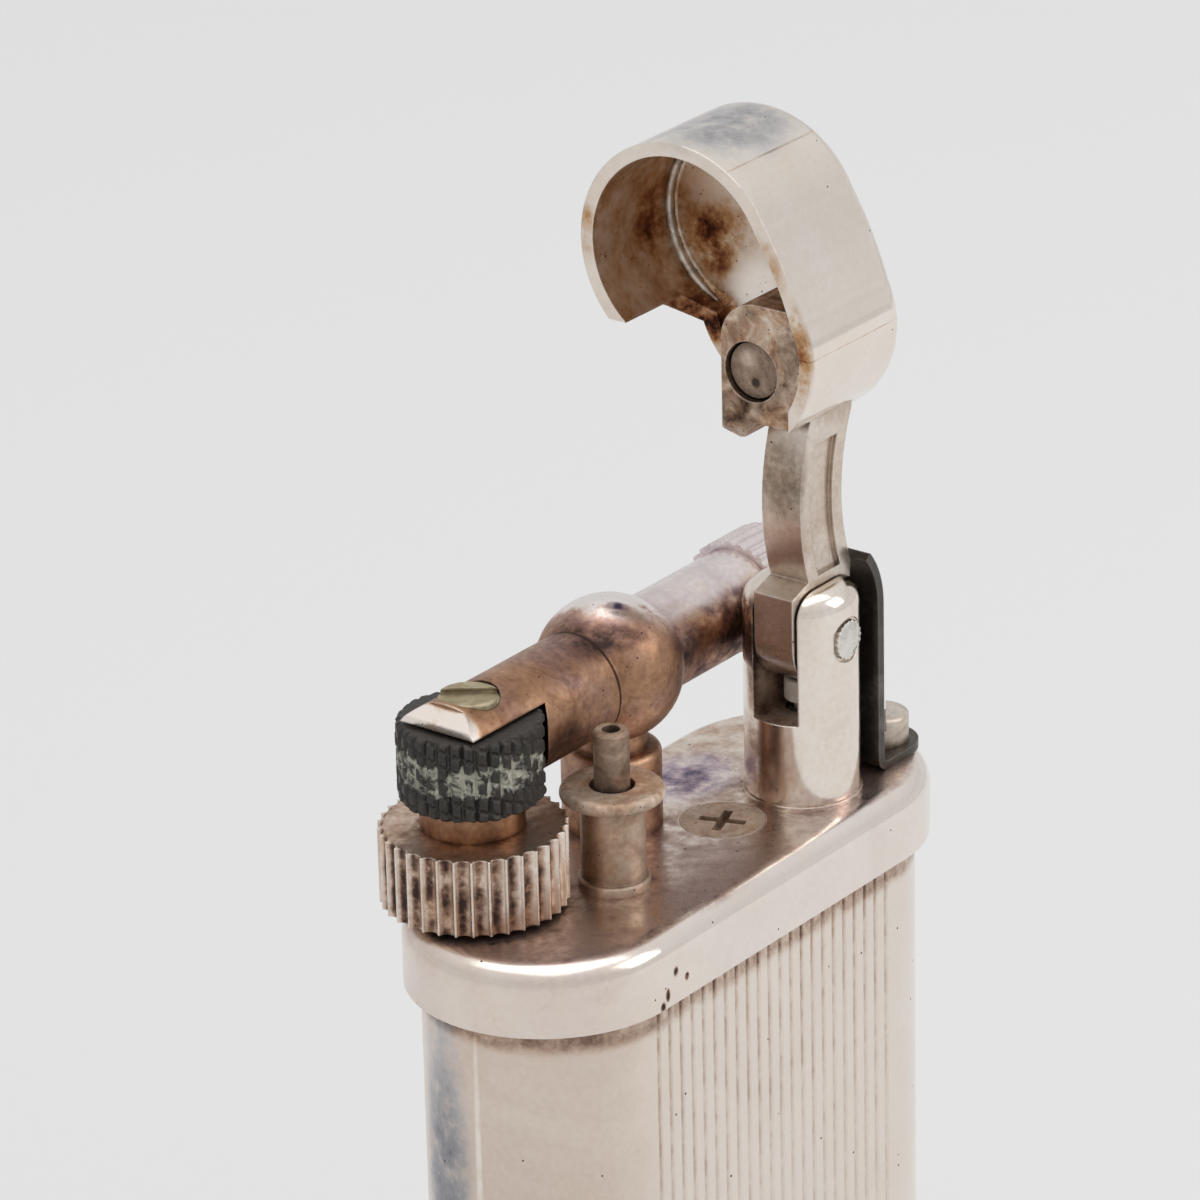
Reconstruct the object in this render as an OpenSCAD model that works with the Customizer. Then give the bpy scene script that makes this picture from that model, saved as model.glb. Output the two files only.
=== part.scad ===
// Gas pocket lighter with a lift arm: the arm carries a hood over the burner and the spark wheel.
// Millimetres. X runs along the body, Y across it and Z up from the base. The arm stands open.

/* [Body] */
// Height from the base to the top of the plate
body_h = 52; // [48:0.5:60]
// Half length of the straight sides of the body
body_half = 9.48; // [9.3:0.02:10]
// End radius of the body
body_r = 6.56; // [6.5:0.02:6.8]
// Wall of the body sleeve
shell_wall = 0.6; // [0.5:0.05:0.8]
// Thickness of the base plate at its edge
base_t = 1.2; // [1:0.1:1.6]
// Height of the step that centres the base plate in the sleeve
base_step = 0.8; // [0.6:0.1:1.2]
// Rounding of the bottom edge
base_edge = 0.5; // [0.3:0.05:0.8]
// Number of cut lines on each broad side
line_count = 22; // [10:1:24]
// Spacing of the cut lines
line_pitch = 0.904; // [0.6:0.002:0.95]
// Depth of a cut line
line_deep = 0.17; // [0.08:0.01:0.25]
// Width of a cut line
line_w = 0.4; // [0.2:0.02:0.5]
// Distance of the lined field from the middle of the side
line_shift = 0.51; // [0:0.05:0.8]

/* [Cap plate] */
// Overhang of the cap plate past the round end of the body
cap_lip = 0.44; // [0.3:0.02:0.6]
// Extra half length of the straight part of the cap plate
cap_long = 0.61; // [0.2:0.02:0.8]
// Height of the cap plate's side
cap_side = 3.58; // [3:0.02:4.5]
// Thickness of the cap plate's top
cap_t = 1.2; // [1:0.05:1.6]
// Rounding of the upper edge of the cap plate
cap_edge = 1.12; // [0.6:0.02:1.15]

/* [Flint tube] */
// Place of the ball post along the body
post_x = -0.6; // [-0.9:0.05:-0.3]
// Distance of the flint tube from the middle of the body
tube_y = 3.15; // [3.12:0.01:3.3]
// Height of the tube's centre line over the plate
tube_z = 8.3; // [8.25:0.01:8.5]
// Radius of the front tube
front_r = 2.73; // [2.6:0.01:2.8]
// Radius of the rear tube
rear_r = 2.55; // [2.4:0.01:2.57]
// Radius of the ball
ball_r = 3.69; // [3.6:0.01:3.8]
// Radius of the post's foot
post_r = 2.5; // [2.2:0.05:2.6]
// Height of the post's foot
post_h = 4.2; // [3.8:0.05:4.3]
// Radius of the neck between foot and ball
neck_r = 1.8; // [1.5:0.05:2]
// Distance from the ball's centre to the seam of the front tube
seam_d = 2.7; // [2.6:0.05:3]
// Distance from the ball's centre to the end of the rear tube
rear_len = 10.45; // [10:0.05:11]
// Length of the cap that closes the tube
endcap_len = 3.4; // [2.8:0.05:3.6]
// Radius of the cap that closes the tube
endcap_r = 2.95; // [2.8:0.01:3]
// Radius of the flint
flint_r = 1.25; // [1.1:0.01:1.3]
// Length of the flint
flint_len = 3.6; // [2:0.1:4]
// Radius of a turn of the flint spring
flint_coil_r = 0.92; // [0.85:0.01:0.95]
// Wire of the flint spring
flint_wire = 0.3; // [0.25:0.01:0.32]
// Turns of the flint spring
flint_turns = 12; // [10:1:13]
// How far the flint gives way against its spring
flint_give = 0.5; // [0.3:0.05:0.6]

/* [Spark wheel] */
// Place of the wheel along the body
wheel_x = -11.6; // [-11.7:0.02:-11.5]
// Radius of the thumb wheel
thumb_r = 4.6; // [4.4:0.02:4.7]
// Height of the thumb wheel
thumb_h = 3.9; // [3.5:0.05:3.95]
// Gap under the thumb wheel
thumb_lift = 0.3; // [0.25:0.01:0.35]
// Number of flutes round the thumb wheel
flutes = 34; // [28:1:36]
// Radius of a flute
flute_r = 0.42; // [0.35:0.01:0.45]
// Depth of a flute
flute_deep = 0.26; // [0.15:0.01:0.3]
// Radius of the spark wheel
spark_r = 3.6; // [3.5:0.01:3.65]
// Height of the spark wheel
spark_h = 4; // [3.8:0.05:4.05]
// Height of the brass collar between the wheels
collar_h = 1.55; // [1.3:0.05:1.6]
// Radius of the brass collar between the wheels
collar_r = 2.55; // [2.3:0.05:2.8]
// Number of teeth round the spark wheel
spark_teeth = 40; // [30:2:48]
// Rows of teeth over the height of the spark wheel
spark_rows = 7; // [5:1:8]
// Depth of the spark wheel's teeth
spark_deep = 0.2; // [0.15:0.01:0.3]
// Radius of the wheel axle
axle_r = 0.9; // [0.8:0.01:1]
// Width of the slot in the axle's screw head
axle_slot_w = 1.3; // [1.1:0.01:1.35]
// Depth of that slot
axle_slot_deep = 0.25; // [0.2:0.01:0.35]
// Radius of the axle's screw head
axle_head_r = 1.5; // [1.35:0.01:1.6]
// Gap between the spark wheel and the tongue over it
tongue_gap = 0.15; // [0.1:0.01:0.2]
// Length of the tongue past the wheel's axis
tongue_len = 2.5; // [2.2:0.05:2.6]

/* [Burner] */
// Place of the burner along the body
burner_x = -6.25; // [-6.3:0.01:-6.2]
// Distance of the burner from the middle of the body
burner_y = -1.2; // [-1.25:0.01:-1.15]
// Radius of the burner tube
barrel_r = 1.59; // [1.5:0.01:1.65]
// Radius of the bead at the burner tube's foot
bead_r = 1.79; // [1.7:0.01:1.85]
// Height of the flange's underside over the plate
flange_z = 4.6; // [4.2:0.05:4.7]
// Radius of the flange
flange_r = 2.57; // [2.4:0.01:2.6]
// Thickness of the flange
flange_t = 0.7; // [0.6:0.05:0.75]
// Radius of the nozzle
nozzle_r = 0.88; // [0.8:0.01:0.9]
// Height of the raised nozzle over the plate
nozzle_z = 8.2; // [8.1:0.01:8.3]
// Radius of the gas hole in the nozzle
gas_r = 0.3; // [0.2:0.01:0.35]
// Travel of the nozzle
nozzle_drop = 1.88; // [1.88:0.01:2]

/* [Hinge] */
// Place of the pillar along the body
pillar_x = 7.87; // [7.8:0.01:7.9]
// Distance of the pillar from the middle of the body
pillar_y = -2.33; // [-2.4:0.01:-2.32]
// Radius of the pillar
pillar_r = 2.9; // [2.88:0.01:2.95]
// Height of the pillar
pillar_h = 11.4; // [11.2:0.05:11.6]
// Rounding of the pillar's top
pillar_edge = 1.2; // [0.8:0.05:1.3]
// Thickness of the washer under the pillar
washer_t = 0.25; // [0.2:0.01:0.4]
// Height of the slot's floor in the pillar
slot_z = 4.6; // [4.3:0.05:4.7]
// Offset of the slot from the pillar's middle
slot_off = -0.27; // [-0.3:0.01:-0.25]
// Height of the hinge pin over the plate
pin_z = 8.73; // [8.72:0.01:8.75]
// Radius of the hinge pin
pin_r = 0.75; // [0.6:0.01:0.8]
// Radius of the pin's serrated head
pin_head_r = 1.02; // [0.95:0.01:1.1]

/* [Arm] */
// Thickness of the arm
arm_t = 2.3; // [2.1:0.02:2.4]
// Radius of the arm's heel
heel_r = 2.35; // [2.3:0.01:2.4]
// Offset of the heel from the pin
heel_off = 0.35; // [0.3:0.01:0.36]
// Radius of the arm's front curve
neck_front_r = 11.8; // [11:0.05:12.5]
// Place of the front curve's crown along the body
neck_front_x = 5.95; // [5.9:0.01:6.05]
// Radius of the arm's back curve
neck_back_r = 10.2; // [10:0.05:11]
// Place of the back curve's crown along the body
neck_back_x = 9.4; // [9.3:0.01:9.5]
// Height of the curves' crown over the plate
neck_mid_z = 15.7; // [15.5:0.05:15.9]
// Place of the arm's back where it enters the hood
neck_end_x = 10.33; // [10.31:0.01:10.36]
// Depth of the plain panel let into the arm
panel_deep = 0.22; // [0.1:0.02:0.4]
// Border of the plain panel
panel_edge = 0.8; // [0.7:0.05:0.9]

/* [Hood] */
// Radius of the hood's lobe over the spark wheel
lobe_r = 5.82; // [5.75:0.01:5.85]
// Place of that lobe along the body
lobe_x = -11.3; // [-11.35:0.01:-11.25]
// Distance of that lobe from the middle of the body
lobe_y = 2.72; // [2.68:0.01:2.8]
// Radius of the hood's lobe at the arm
root_r = 5.15; // [5.1:0.01:5.2]
// Place of the lobe at the arm along the body
root_x = -7.15; // [-7.2:0.01:-7.1]
// Distance of the lobe at the arm from the middle of the body
root_y = 0; // [-0.05:0.01:0.05]
// Radius of the hood's long side
side_r = 20.5; // [19.5:0.1:22]
// How far the two lobes stand proud of the long side
lobe_proud = 0.05; // [0.03:0.01:0.08]
// Wall of the hood
hood_wall = 0.7; // [0.6:0.01:0.75]
// Height of the closed hood's rim over the plate
rim_z = 5.86; // [5.75:0.01:5.9]
// Height of the closed hood's crown over the plate
crown_z = 13.75; // [13.6:0.01:13.9]
// Thickness of the hood's crown
crown_t = 1.6; // [1.4:0.05:1.65]
// Rounding of the hood's crown edge
crown_edge = 1; // [0.6:0.05:1.2]
// Rounding inside the hood along its crown
cavity_edge = 0.7; // [0.5:0.05:0.8]
// Gap between the closed hood and the top of the flint tube
tube_gap = 0.37; // [0.3:0.01:0.45]
// Radius of the arch that clears the flint tube
arch_r = 4; // [3.9:0.02:4.1]
// Offset of the arch's middle from the tube
arch_off = 0.15; // [0.1:0.01:0.2]
// Place of the arch's start along the body
far_x = -7.3; // [-7.5:0.05:-7.1]

/* [Snuffer pad] */
// Height of the closed pad block's face over the plate
block_z = 6.06; // [6:0.01:6.1]
// Place of the block's wheel end along the body
block_x = -9.75; // [-9.78:0.01:-9.7]
// Place of the block's arm end along the body
block_end = -2.9; // [-3.1:0.05:-2.8]
// Gap between the closed block and the front tube
block_gap = 0.1; // [0.08:0.01:0.12]
// Rounding of the block's corner at the wheel
block_round = 2.1; // [2:0.05:2.3]
// Offset of the pad's middle from the burner's, away from the tube
pad_off = 0.25; // [0.22:0.01:0.28]
// Radius of the pad
pad_r = 1.42; // [1.35:0.01:1.45]
// Radius of the recess round the pad
recess_r = 1.55; // [1.5:0.01:1.58]
// Depth of the recess
recess_deep = 1.7; // [1.4:0.05:1.9]
// How far the pad's face lies inside the block's face
pad_sink = 0.3; // [0.3:0.01:0.32]

/* [Follower] */
// Radius of the follower's head
head_r = 1.1; // [1:0.01:1.12]
// Thickness of the follower's head
head_t = 1.1; // [0.9:0.05:1.15]
// Height of the follower's top over the plate
head_z = 6.2; // [6.15:0.01:6.22]
// Radius of the follower's rod
rod_r = 0.6; // [0.5:0.01:0.62]
// Travel of the follower
rod_drop = 0.3; // [0.28:0.01:0.31]
// Wire of the follower's spring
rod_wire = 0.22; // [0.18:0.01:0.23]
// Depth of the follower spring's pocket under the slot
rod_pocket = 3; // [2.8:0.05:3.2]
// Turns of the follower's spring
rod_turns = 4; // [3:0.5:4.5]

/* [Leaf spring] */
// Thickness of the leaf
leaf_t = 0.45; // [0.35:0.01:0.48]
// Width of the leaf
leaf_w = 3.8; // [3.4:0.05:3.9]
// Place of the leaf's upright along the body
leaf_x = 11.3; // [11.2:0.02:11.4]
// Middle of the leaf across the body
leaf_y = -2.7; // [-2.75:0.01:-2.65]
// Height where the leaf starts to curl
leaf_bend_z = 9.2; // [9:0.05:9.4]
// Height of the leaf's tip
leaf_tip_z = 11.9; // [11.8:0.05:12]
// How far the leaf's tip leans to the arm
leaf_lean = 1; // [0.9:0.01:1.02]
// Inner radius of the bend at the foot
leaf_bend = 0.35; // [0.3:0.01:0.5]
// Place of the leaf's screw along the body
leaf_screw_x = 14.15; // [14.05:0.05:14.3]
// Radius of the leaf screw's head
leaf_head_r = 1.42; // [1.3:0.01:1.5]
// Height of the leaf screw's head
leaf_head_h = 1.5; // [1.2:0.05:1.6]
// Radius of the small screws' shanks
shank_r = 0.8; // [0.7:0.01:0.85]

/* [Valve and lever] */
// Height of the space between tank and cap plate
bay_h = 6.2; // [6:0.05:6.6]
// Thickness of the lever
lever_t = 0.8; // [0.74:0.02:0.9]
// Width of the lever
lever_w = 4.8; // [4.4:0.05:5]
// Gap between the cap plate and the lever
lever_gap = 0.7; // [0.68:0.01:0.8]
// Distance from the follower to the lever's pin
lever_back = 2.69; // [2.65:0.01:2.75]
// Radius of the lever's pin
lever_pin_r = 0.3; // [0.25:0.01:0.32]
// Thickness of the bracket's sheet
bracket_t = 0.5; // [0.4:0.02:0.54]
// Radius of the collar on the nozzle
stem_collar_r = 1.5; // [1.4:0.01:1.6]
// Height of the collar on the nozzle
stem_collar_h = 0.6; // [0.5:0.05:0.7]
// Radius of the valve body
valve_r = 1.9; // [1.85:0.01:2.1]
// Thickness of the valve body's flange
valve_flange_t = 0.6; // [0.5:0.05:0.7]
// Depth of the valve body under the tank's lid
valve_deep = 8; // [7.6:0.1:9]
// Wire of the nozzle's spring
nozzle_wire = 0.25; // [0.2:0.01:0.27]
// Radius of a turn of the nozzle's spring
nozzle_coil_r = 1.2; // [1.15:0.01:1.3]
// Turns of the nozzle's spring
nozzle_turns = 4; // [3:0.5:4]
// Section radius of the seal ring round the nozzle
ring_r = 0.28; // [0.2:0.01:0.3]
// Radius of the plate screw's head
plate_head_r = 2.11; // [2:0.01:2.2]
// Place of the plate screw along the body
plate_screw_x = 2.51; // [2.4:0.01:2.6]
// Distance of the plate screw from the middle of the body
plate_screw_y = -1.28; // [-1.35:0.01:-1.25]

/* [Tank and base] */
// Wall of the tank
tank_wall = 0.5; // [0.4:0.05:0.7]
// Gap between tank and sleeve
tank_gap = 0.26; // [0.2:0.02:0.5]
// Thickness of the tank's ends
tank_end = 0.8; // [0.7:0.05:1]
// Place of the filling valve along the body
filler_x = 6.5; // [6:0.1:7]
// Place of the flame adjuster along the body
adjuster_x = -6.5; // [-7:0.1:-6]
// Radius of the flanges in the base
port_r = 2.6; // [2.5:0.05:3]
// Radius of the parts that pass into the tank
port_shank_r = 1.9; // [1.8:0.05:2]
// Height of the filling valve over the base
filler_h = 8; // [7.6:0.1:9]
// Radius of the filling valve's stem
filler_stem_r = 0.55; // [0.5:0.01:0.58]
// Travel of the filling valve's stem
filler_push = 1; // [0.8:0.05:1.1]
// Wire of the filling valve's spring
filler_wire = 0.28; // [0.22:0.01:0.3]
// Turns of the filling valve's spring
filler_turns = 4; // [3:0.5:4]
// Height of the adjuster over the base
adjuster_h = 10; // [9:0.1:12]
// Radius of the adjuster's screw
adjuster_r = 1.25; // [1.15:0.01:1.3]
// Width of the screwdriver slots
slot_w = 0.5; // [0.35:0.01:0.55]

/* [Fits] */
// Radial play of a turning or sliding fit
run_fit = 0.03; // [0.02:0.005:0.04]
// Radial play of a fixed fit
seat_fit = 0.02; // [0.01:0.005:0.02]
// Play of the arm on each side of its slot
side_fit = 0.1; // [0.05:0.01:0.12]

/* [Hidden] */
$fn = 64;
e = 0.01;

cap_r = body_r + cap_lip;
cap_half = body_half + cap_long;
under_z = body_h - cap_t;
shell_in_r = body_r - shell_wall;
slot_y = pillar_y + slot_off;
slot_half = arm_t / 2 + side_fit;
arm_y = slot_y;
// The closed hood lies at x2 = turn_x - z, measured from the plate
turn_x = pin_z + pillar_x;
inner_z = crown_z - crown_t;
arm_dz = pin_z - pillar_x;
arch_z = tube_z + front_r + tube_gap - arch_r;
ball_gap_r = ball_r + 0.3;
block_y = tube_y - front_r - block_gap;
pad_y = burner_y - pad_off;
// Centre of the long side's arc, which both lobes touch from inside
lobe_c = [lobe_x, lobe_y];
root_c = [root_x, root_y];
lobe_d = norm(root_c - lobe_c);
side_a = side_r - lobe_r;
side_b = side_r - root_r;
side_u = (root_c - lobe_c) / lobe_d;
side_t = (side_a * side_a - side_b * side_b + lobe_d * lobe_d) / (2 * lobe_d);
side_h = sqrt(side_a * side_a - side_t * side_t);
side_c = lobe_c + side_t * side_u + side_h * [-side_u[1], side_u[0]];
lobe_turn = 360 + atan2(lobe_c[1] - side_c[1], lobe_c[0] - side_c[0]);
root_turn = 360 + atan2(root_c[1] - side_c[1], root_c[0] - side_c[0]);

wheel_z0 = thumb_lift;
collar_z0 = wheel_z0 + thumb_h;
spark_z0 = collar_z0 + collar_h;
spark_z1 = spark_z0 + spark_h;
tongue_z = spark_z1 + tongue_gap;
seam_x = post_x - seam_d;
rear_x = post_x + rear_len;
flint_x0 = wheel_x + spark_r + 0.06;
plunger_x0 = flint_x0 + flint_len;
plunger_t = 1;
flint_bore = flint_r + 0.05;
spring_x0 = plunger_x0 + plunger_t;
spring_x1 = rear_x + endcap_len - 0.9 - flint_give;

tank_z0 = base_t + base_step;
lid_z = under_z - bay_h;
tank_r = shell_in_r - tank_gap;
lever_z1 = under_z - lever_gap;
lever_z0 = lever_z1 - lever_t;
lever_pin_x = pillar_x + lever_back;
lever_pin_z = lever_z0 + lever_t / 2;
lever_y = (slot_y + burner_y) / 2 + 0.4;
collar_top = lever_z0 - 0.22;
collar_bot = collar_top - stem_collar_h;
valve_top = lid_z + valve_flange_t;
ring_z = lid_z - 1.85;
chamber_z1 = ring_z - 0.35;
chamber_z0 = lid_z - valve_deep + 1.9;
stem_end = chamber_z0 + 0.12 + nozzle_drop + 0.6;

// Centre line point of a coil: t runs in turns
function coil_at(r, rise, t) = [r * cos(360 * t), r * sin(360 * t), rise * t];
// Unit vectors across the wire
function coil_out(t) = [cos(360 * t), sin(360 * t), 0];
function coil_up(r, rise, t) =
    let (k = rise / (2 * PI * r), n = sqrt(1 + k * k))
    [k * sin(360 * t) / n, -k * cos(360 * t) / n, 1 / n];
// Least distance between turns, less the wire
function coil_gap(r, wire, rise, turns) =
    min([for (i = [0:turns * 8]) for (j = [i + 5:turns * 8])
        norm(coil_at(r, rise, i / 8) - coil_at(r, rise, j / 8))]) - wire;

// One unbroken wire of 6 sides and 8 rings a turn
module coil(r, wire, length, turns) {
    rise = (length - wire) / turns;
    rings = round(turns * 8);
    pts = [for (i = [0:rings]) for (k = [0:5])
        coil_at(r, rise, i / 8) + wire / 2 * (cos(60 * k) * coil_out(i / 8)
        + sin(60 * k) * coil_up(r, rise, i / 8)) + [0, 0, wire / 2]];
    sides = [for (i = [0:rings - 1]) for (k = [0:5]) for (h = [0:1])
        h == 0 ? [6 * i + k, 6 * i + (k + 1) % 6, 6 * i + 6 + k]
        : [6 * i + (k + 1) % 6, 6 * i + 6 + (k + 1) % 6, 6 * i + 6 + k]];
    start = [for (k = [1:4]) [0, k + 1, k]];
    stop = [for (k = [1:4]) [6 * rings, 6 * rings + k, 6 * rings + k + 1]];
    echo("least gap between turns", coil_gap(r, wire, rise, turns));
    polyhedron(points = pts, faces = concat(sides, start, stop));
}

// Flat outline with two round ends
module track(r, half) {
    translate([-half, 0])
        circle(r);
    translate([half, 0])
        circle(r);
    square([2 * half, 2 * r], center = true);
}

// Carries a half section round a track of two half circles and two straights
module race(half) {
    translate([half, 0, 0])
        rotate([0, 0, -90])
            rotate_extrude(angle = 180)
                children();
    translate([-half, 0, 0])
        rotate([0, 0, 90])
            rotate_extrude(angle = 180)
                children();
    translate([-half, 0, 0])
        rotate([90, 0, 90])
            linear_extrude(height = 2 * half) {
                children();
                mirror([1, 0])
                    children();
            }
}

// Block section from r0 to r1 with a rounded upper outer corner
module round_top(r0, r1, z0, z1, edge) {
    translate([r0, z0])
        square([r1 - edge - r0, z1 - z0]);
    translate([r1 - edge, z0])
        square([edge, z1 - edge - z0]);
    translate([r1 - edge, z1 - edge])
        intersection() {
            circle(edge);
            square(edge);
        }
}

module hole(x, y, r, z0, z1) {
    translate([x, y, z0])
        cylinder(r = r, h = z1 - z0);
}

module ring(r, section, z) {
    translate([0, 0, z])
        rotate_extrude()
            translate([r, 0])
                circle(section, $fn = 24);
}

module driver_slot(r, width, depth, z1) {
    translate([-r - 1, -width / 2, z1 - depth])
        cube([2 * r + 2, width, depth + 1]);
}

// Sleeve of the body with the cut lines on both broad sides
module body_shell() {
    color("silver")
        translate([0, 0, base_t])
            linear_extrude(height = under_z - base_t)
                difference() {
                    track(body_r, body_half);
                    track(shell_in_r, body_half);
                    for (turn = [0, 180])
                        rotate(turn)
                            for (i = [0:line_count - 1])
                                translate([(i - (line_count - 1) / 2) * line_pitch - line_shift, -body_r])
                                    polygon([[-line_w / 2, -e], [line_w / 2, -e], [0, line_deep]]);
                }
}

module base_plate() {
    color("silver")
        difference() {
            union() {
                translate([0, 0, base_t])
                    mirror([0, 0, 1])
                        race(body_half)
                            round_top(0, body_r, 0, base_t, base_edge);
                translate([0, 0, base_t - e])
                    linear_extrude(height = base_step + e)
                        track(shell_in_r - seat_fit, body_half);
            }
            for (x = [filler_x, adjuster_x])
                hole(x, 0, port_r + seat_fit, -1, tank_z0 + 1);
        }
}

module top_plate() {
    color("silver")
        translate([0, 0, body_h])
            difference() {
                translate([0, 0, -cap_side])
                    race(cap_half)
                        round_top(0, cap_r, 0, cap_side, cap_edge);
                translate([0, 0, -cap_side - 1])
                    linear_extrude(height = cap_side + 1 - cap_t)
                        track(body_r + seat_fit, body_half);
                hole(wheel_x, tube_y, axle_r + seat_fit, -cap_t - 1, 1);
                hole(post_x, tube_y, axle_r + seat_fit, -cap_t - 1, 1);
                hole(burner_x, burner_y, barrel_r - 0.2 + seat_fit, -cap_t - 1, 1);
                hole(pillar_x, pillar_y, pillar_r - 0.9 + seat_fit, -cap_t - 1, 1);
                hole(leaf_screw_x, leaf_y, shank_r + seat_fit, -cap_t - 1, 1);
                hole(plate_screw_x, plate_screw_y, axle_r + seat_fit, -cap_t - 1, 1);
                hole(plate_screw_x, plate_screw_y, plate_head_r + seat_fit, -0.8, 1);
            }
}

// Flat head screw with a cross recess that holds the cap plate to the tank
module plate_screw() {
    color("silver")
        translate([plate_screw_x, plate_screw_y, 0])
            difference() {
                union() {
                    translate([0, 0, body_h - 0.8])
                        cylinder(r = plate_head_r, h = 0.8);
                    translate([0, 0, lid_z - 2])
                        cylinder(r = axle_r, h = body_h - 0.4 - lid_z + 2);
                }
                for (turn = [20, 110])
                    rotate([0, 0, turn])
                        translate([-1.2, -slot_w / 2, body_h - 0.6])
                            cube([2.4, slot_w, 1]);
            }
}

module tank_cup() {
    color("goldenrod")
        difference() {
            translate([0, 0, tank_z0])
                linear_extrude(height = lid_z - tank_end - tank_z0)
                    track(tank_r, body_half);
            translate([0, 0, tank_z0 + tank_end])
                linear_extrude(height = lid_z - tank_z0)
                    track(tank_r - tank_wall, body_half);
            for (x = [filler_x, adjuster_x])
                hole(x, 0, port_shank_r + seat_fit, tank_z0 - 1, tank_z0 + tank_end + 1);
        }
}

module tank_lid() {
    color("goldenrod")
        difference() {
            union() {
                translate([0, 0, lid_z - tank_end])
                    linear_extrude(height = tank_end)
                        track(tank_r, body_half);
                translate([0, 0, lid_z - tank_end - 0.8])
                    linear_extrude(height = 0.9)
                        track(tank_r - tank_wall - seat_fit, body_half);
                hole(plate_screw_x, plate_screw_y, axle_r + 0.8, lid_z - 3, lid_z - 0.1);
            }
            hole(plate_screw_x, plate_screw_y, axle_r + seat_fit, lid_z - 2, lid_z + 1);
            hole(burner_x, burner_y, valve_r + seat_fit, lid_z - 4, lid_z + 1);
        }
}

module filler_body() {
    color("goldenrod")
        translate([filler_x, 0, 0])
            difference() {
                union() {
                    translate([0, 0, 0.2])
                        cylinder(r = port_r, h = tank_z0 - 0.2);
                    translate([0, 0, tank_z0 - e])
                        cylinder(r = port_shank_r, h = filler_h - tank_z0 + e);
                }
                translate([0, 0, -1])
                    cylinder(r = 1.5, h = 2);
                translate([0, 0, 0.5])
                    cylinder(r = filler_stem_r + run_fit, h = 3);
                translate([0, 0, 2.6])
                    cylinder(r = 1.3, h = filler_h);
            }
}

module filler_stem() {
    color("goldenrod")
        translate([filler_x, 0, 0]) {
            translate([0, 0, 0.5])
                cylinder(r = filler_stem_r, h = 4);
            translate([0, 0, 3])
                cylinder(r = 1.15, h = 0.6);
        }
}

module filler_seal() {
    color("dimgray")
        translate([filler_x, 0, 2.6])
            difference() {
                cylinder(r = 1.2, h = 0.35);
                translate([0, 0, -1])
                    cylinder(r = filler_stem_r + run_fit, h = 2);
            }
}

module filler_spring() {
    color("gray")
        translate([filler_x, 0, 3.62])
            coil(0.9, filler_wire, filler_h - 0.6 - 3.64, filler_turns);
}

module filler_retainer() {
    color("goldenrod")
        translate([filler_x, 0, filler_h - 0.6])
            difference() {
                cylinder(r = 1.3 - seat_fit, h = 0.6);
                translate([0, 0, -1])
                    cylinder(r = 0.6, h = 3);
            }
}

module adjuster_body() {
    color("goldenrod")
        translate([adjuster_x, 0, 0])
            difference() {
                union() {
                    translate([0, 0, 0.2])
                        cylinder(r = port_r, h = tank_z0 - 0.2);
                    translate([0, 0, tank_z0 - e])
                        cylinder(r = port_shank_r, h = adjuster_h - tank_z0 + e);
                }
                translate([0, 0, -1])
                    cylinder(r = adjuster_r + run_fit, h = adjuster_h - 1);
                translate([0, 0, -1])
                    cylinder(r = 0.5, h = adjuster_h + 2);
            }
}

module adjuster_screw() {
    color("goldenrod")
        translate([adjuster_x, 0, 0])
            difference() {
                union() {
                    translate([0, 0, 0.5])
                        cylinder(r = adjuster_r, h = 5.2);
                    translate([0, 0, 5.6])
                        cylinder(r = 0.7, h = adjuster_h - 2.4 - 5.6);
                }
                translate([-3, -slot_w / 2, 0])
                    cube([6, slot_w, 1.2]);
            }
}

module adjuster_ring() {
    color("dimgray")
        translate([adjuster_x, 0, 0])
            ring(1, 0.26, 6.2);
}

module burner_barrel() {
    color("silver")
        translate([burner_x, burner_y, body_h])
            difference() {
                union() {
                    translate([0, 0, -cap_t])
                        cylinder(r = barrel_r - 0.2, h = cap_t + e);
                    cylinder(r = barrel_r, h = flange_z);
                    rotate_extrude()
                        round_top(0, bead_r, 0, 0.55, 0.15);
                }
                translate([0, 0, -cap_t - 1])
                    cylinder(r = nozzle_r + run_fit, h = flange_z + cap_t + 3);
            }
}

module burner_flange() {
    color("silver")
        translate([burner_x, burner_y, body_h + flange_z])
            rotate_extrude()
                difference() {
                    union() {
                        round_top(0, flange_r, flange_t / 2 - e, flange_t, flange_t / 2 - e);
                        mirror([0, 1])
                            translate([0, -flange_t])
                                round_top(0, flange_r, flange_t / 2 - e, flange_t, flange_t / 2 - e);
                    }
                    translate([-1, -1])
                        square([1 + nozzle_r + 0.22 + seat_fit, 3]);
                }
}

module nozzle() {
    color("silver")
        translate([burner_x, burner_y, 0])
            difference() {
                union() {
                    translate([0, 0, stem_end])
                        cylinder(r = nozzle_r, h = body_h + nozzle_z - 0.12 - stem_end);
                    translate([0, 0, body_h + nozzle_z - 0.12])
                        cylinder(r1 = nozzle_r, r2 = nozzle_r - 0.12, h = 0.12);
                    translate([0, 0, collar_bot])
                        cylinder(r = stem_collar_r, h = stem_collar_h);
                }
                translate([0, 0, chamber_z1 - 1.2])
                    cylinder(r = gas_r, h = body_h);
                translate([0, 0, body_h + nozzle_z - 0.9])
                    cylinder(r = gas_r + 0.16, h = 2);
                translate([-3, -0.2, chamber_z1 - 1])
                    cube([6, 0.4, 0.4]);
            }
}

module nozzle_spring() {
    color("gray")
        translate([burner_x, burner_y, valve_top])
            coil(nozzle_coil_r, nozzle_wire, collar_bot - valve_top - 0.02, nozzle_turns);
}

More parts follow.
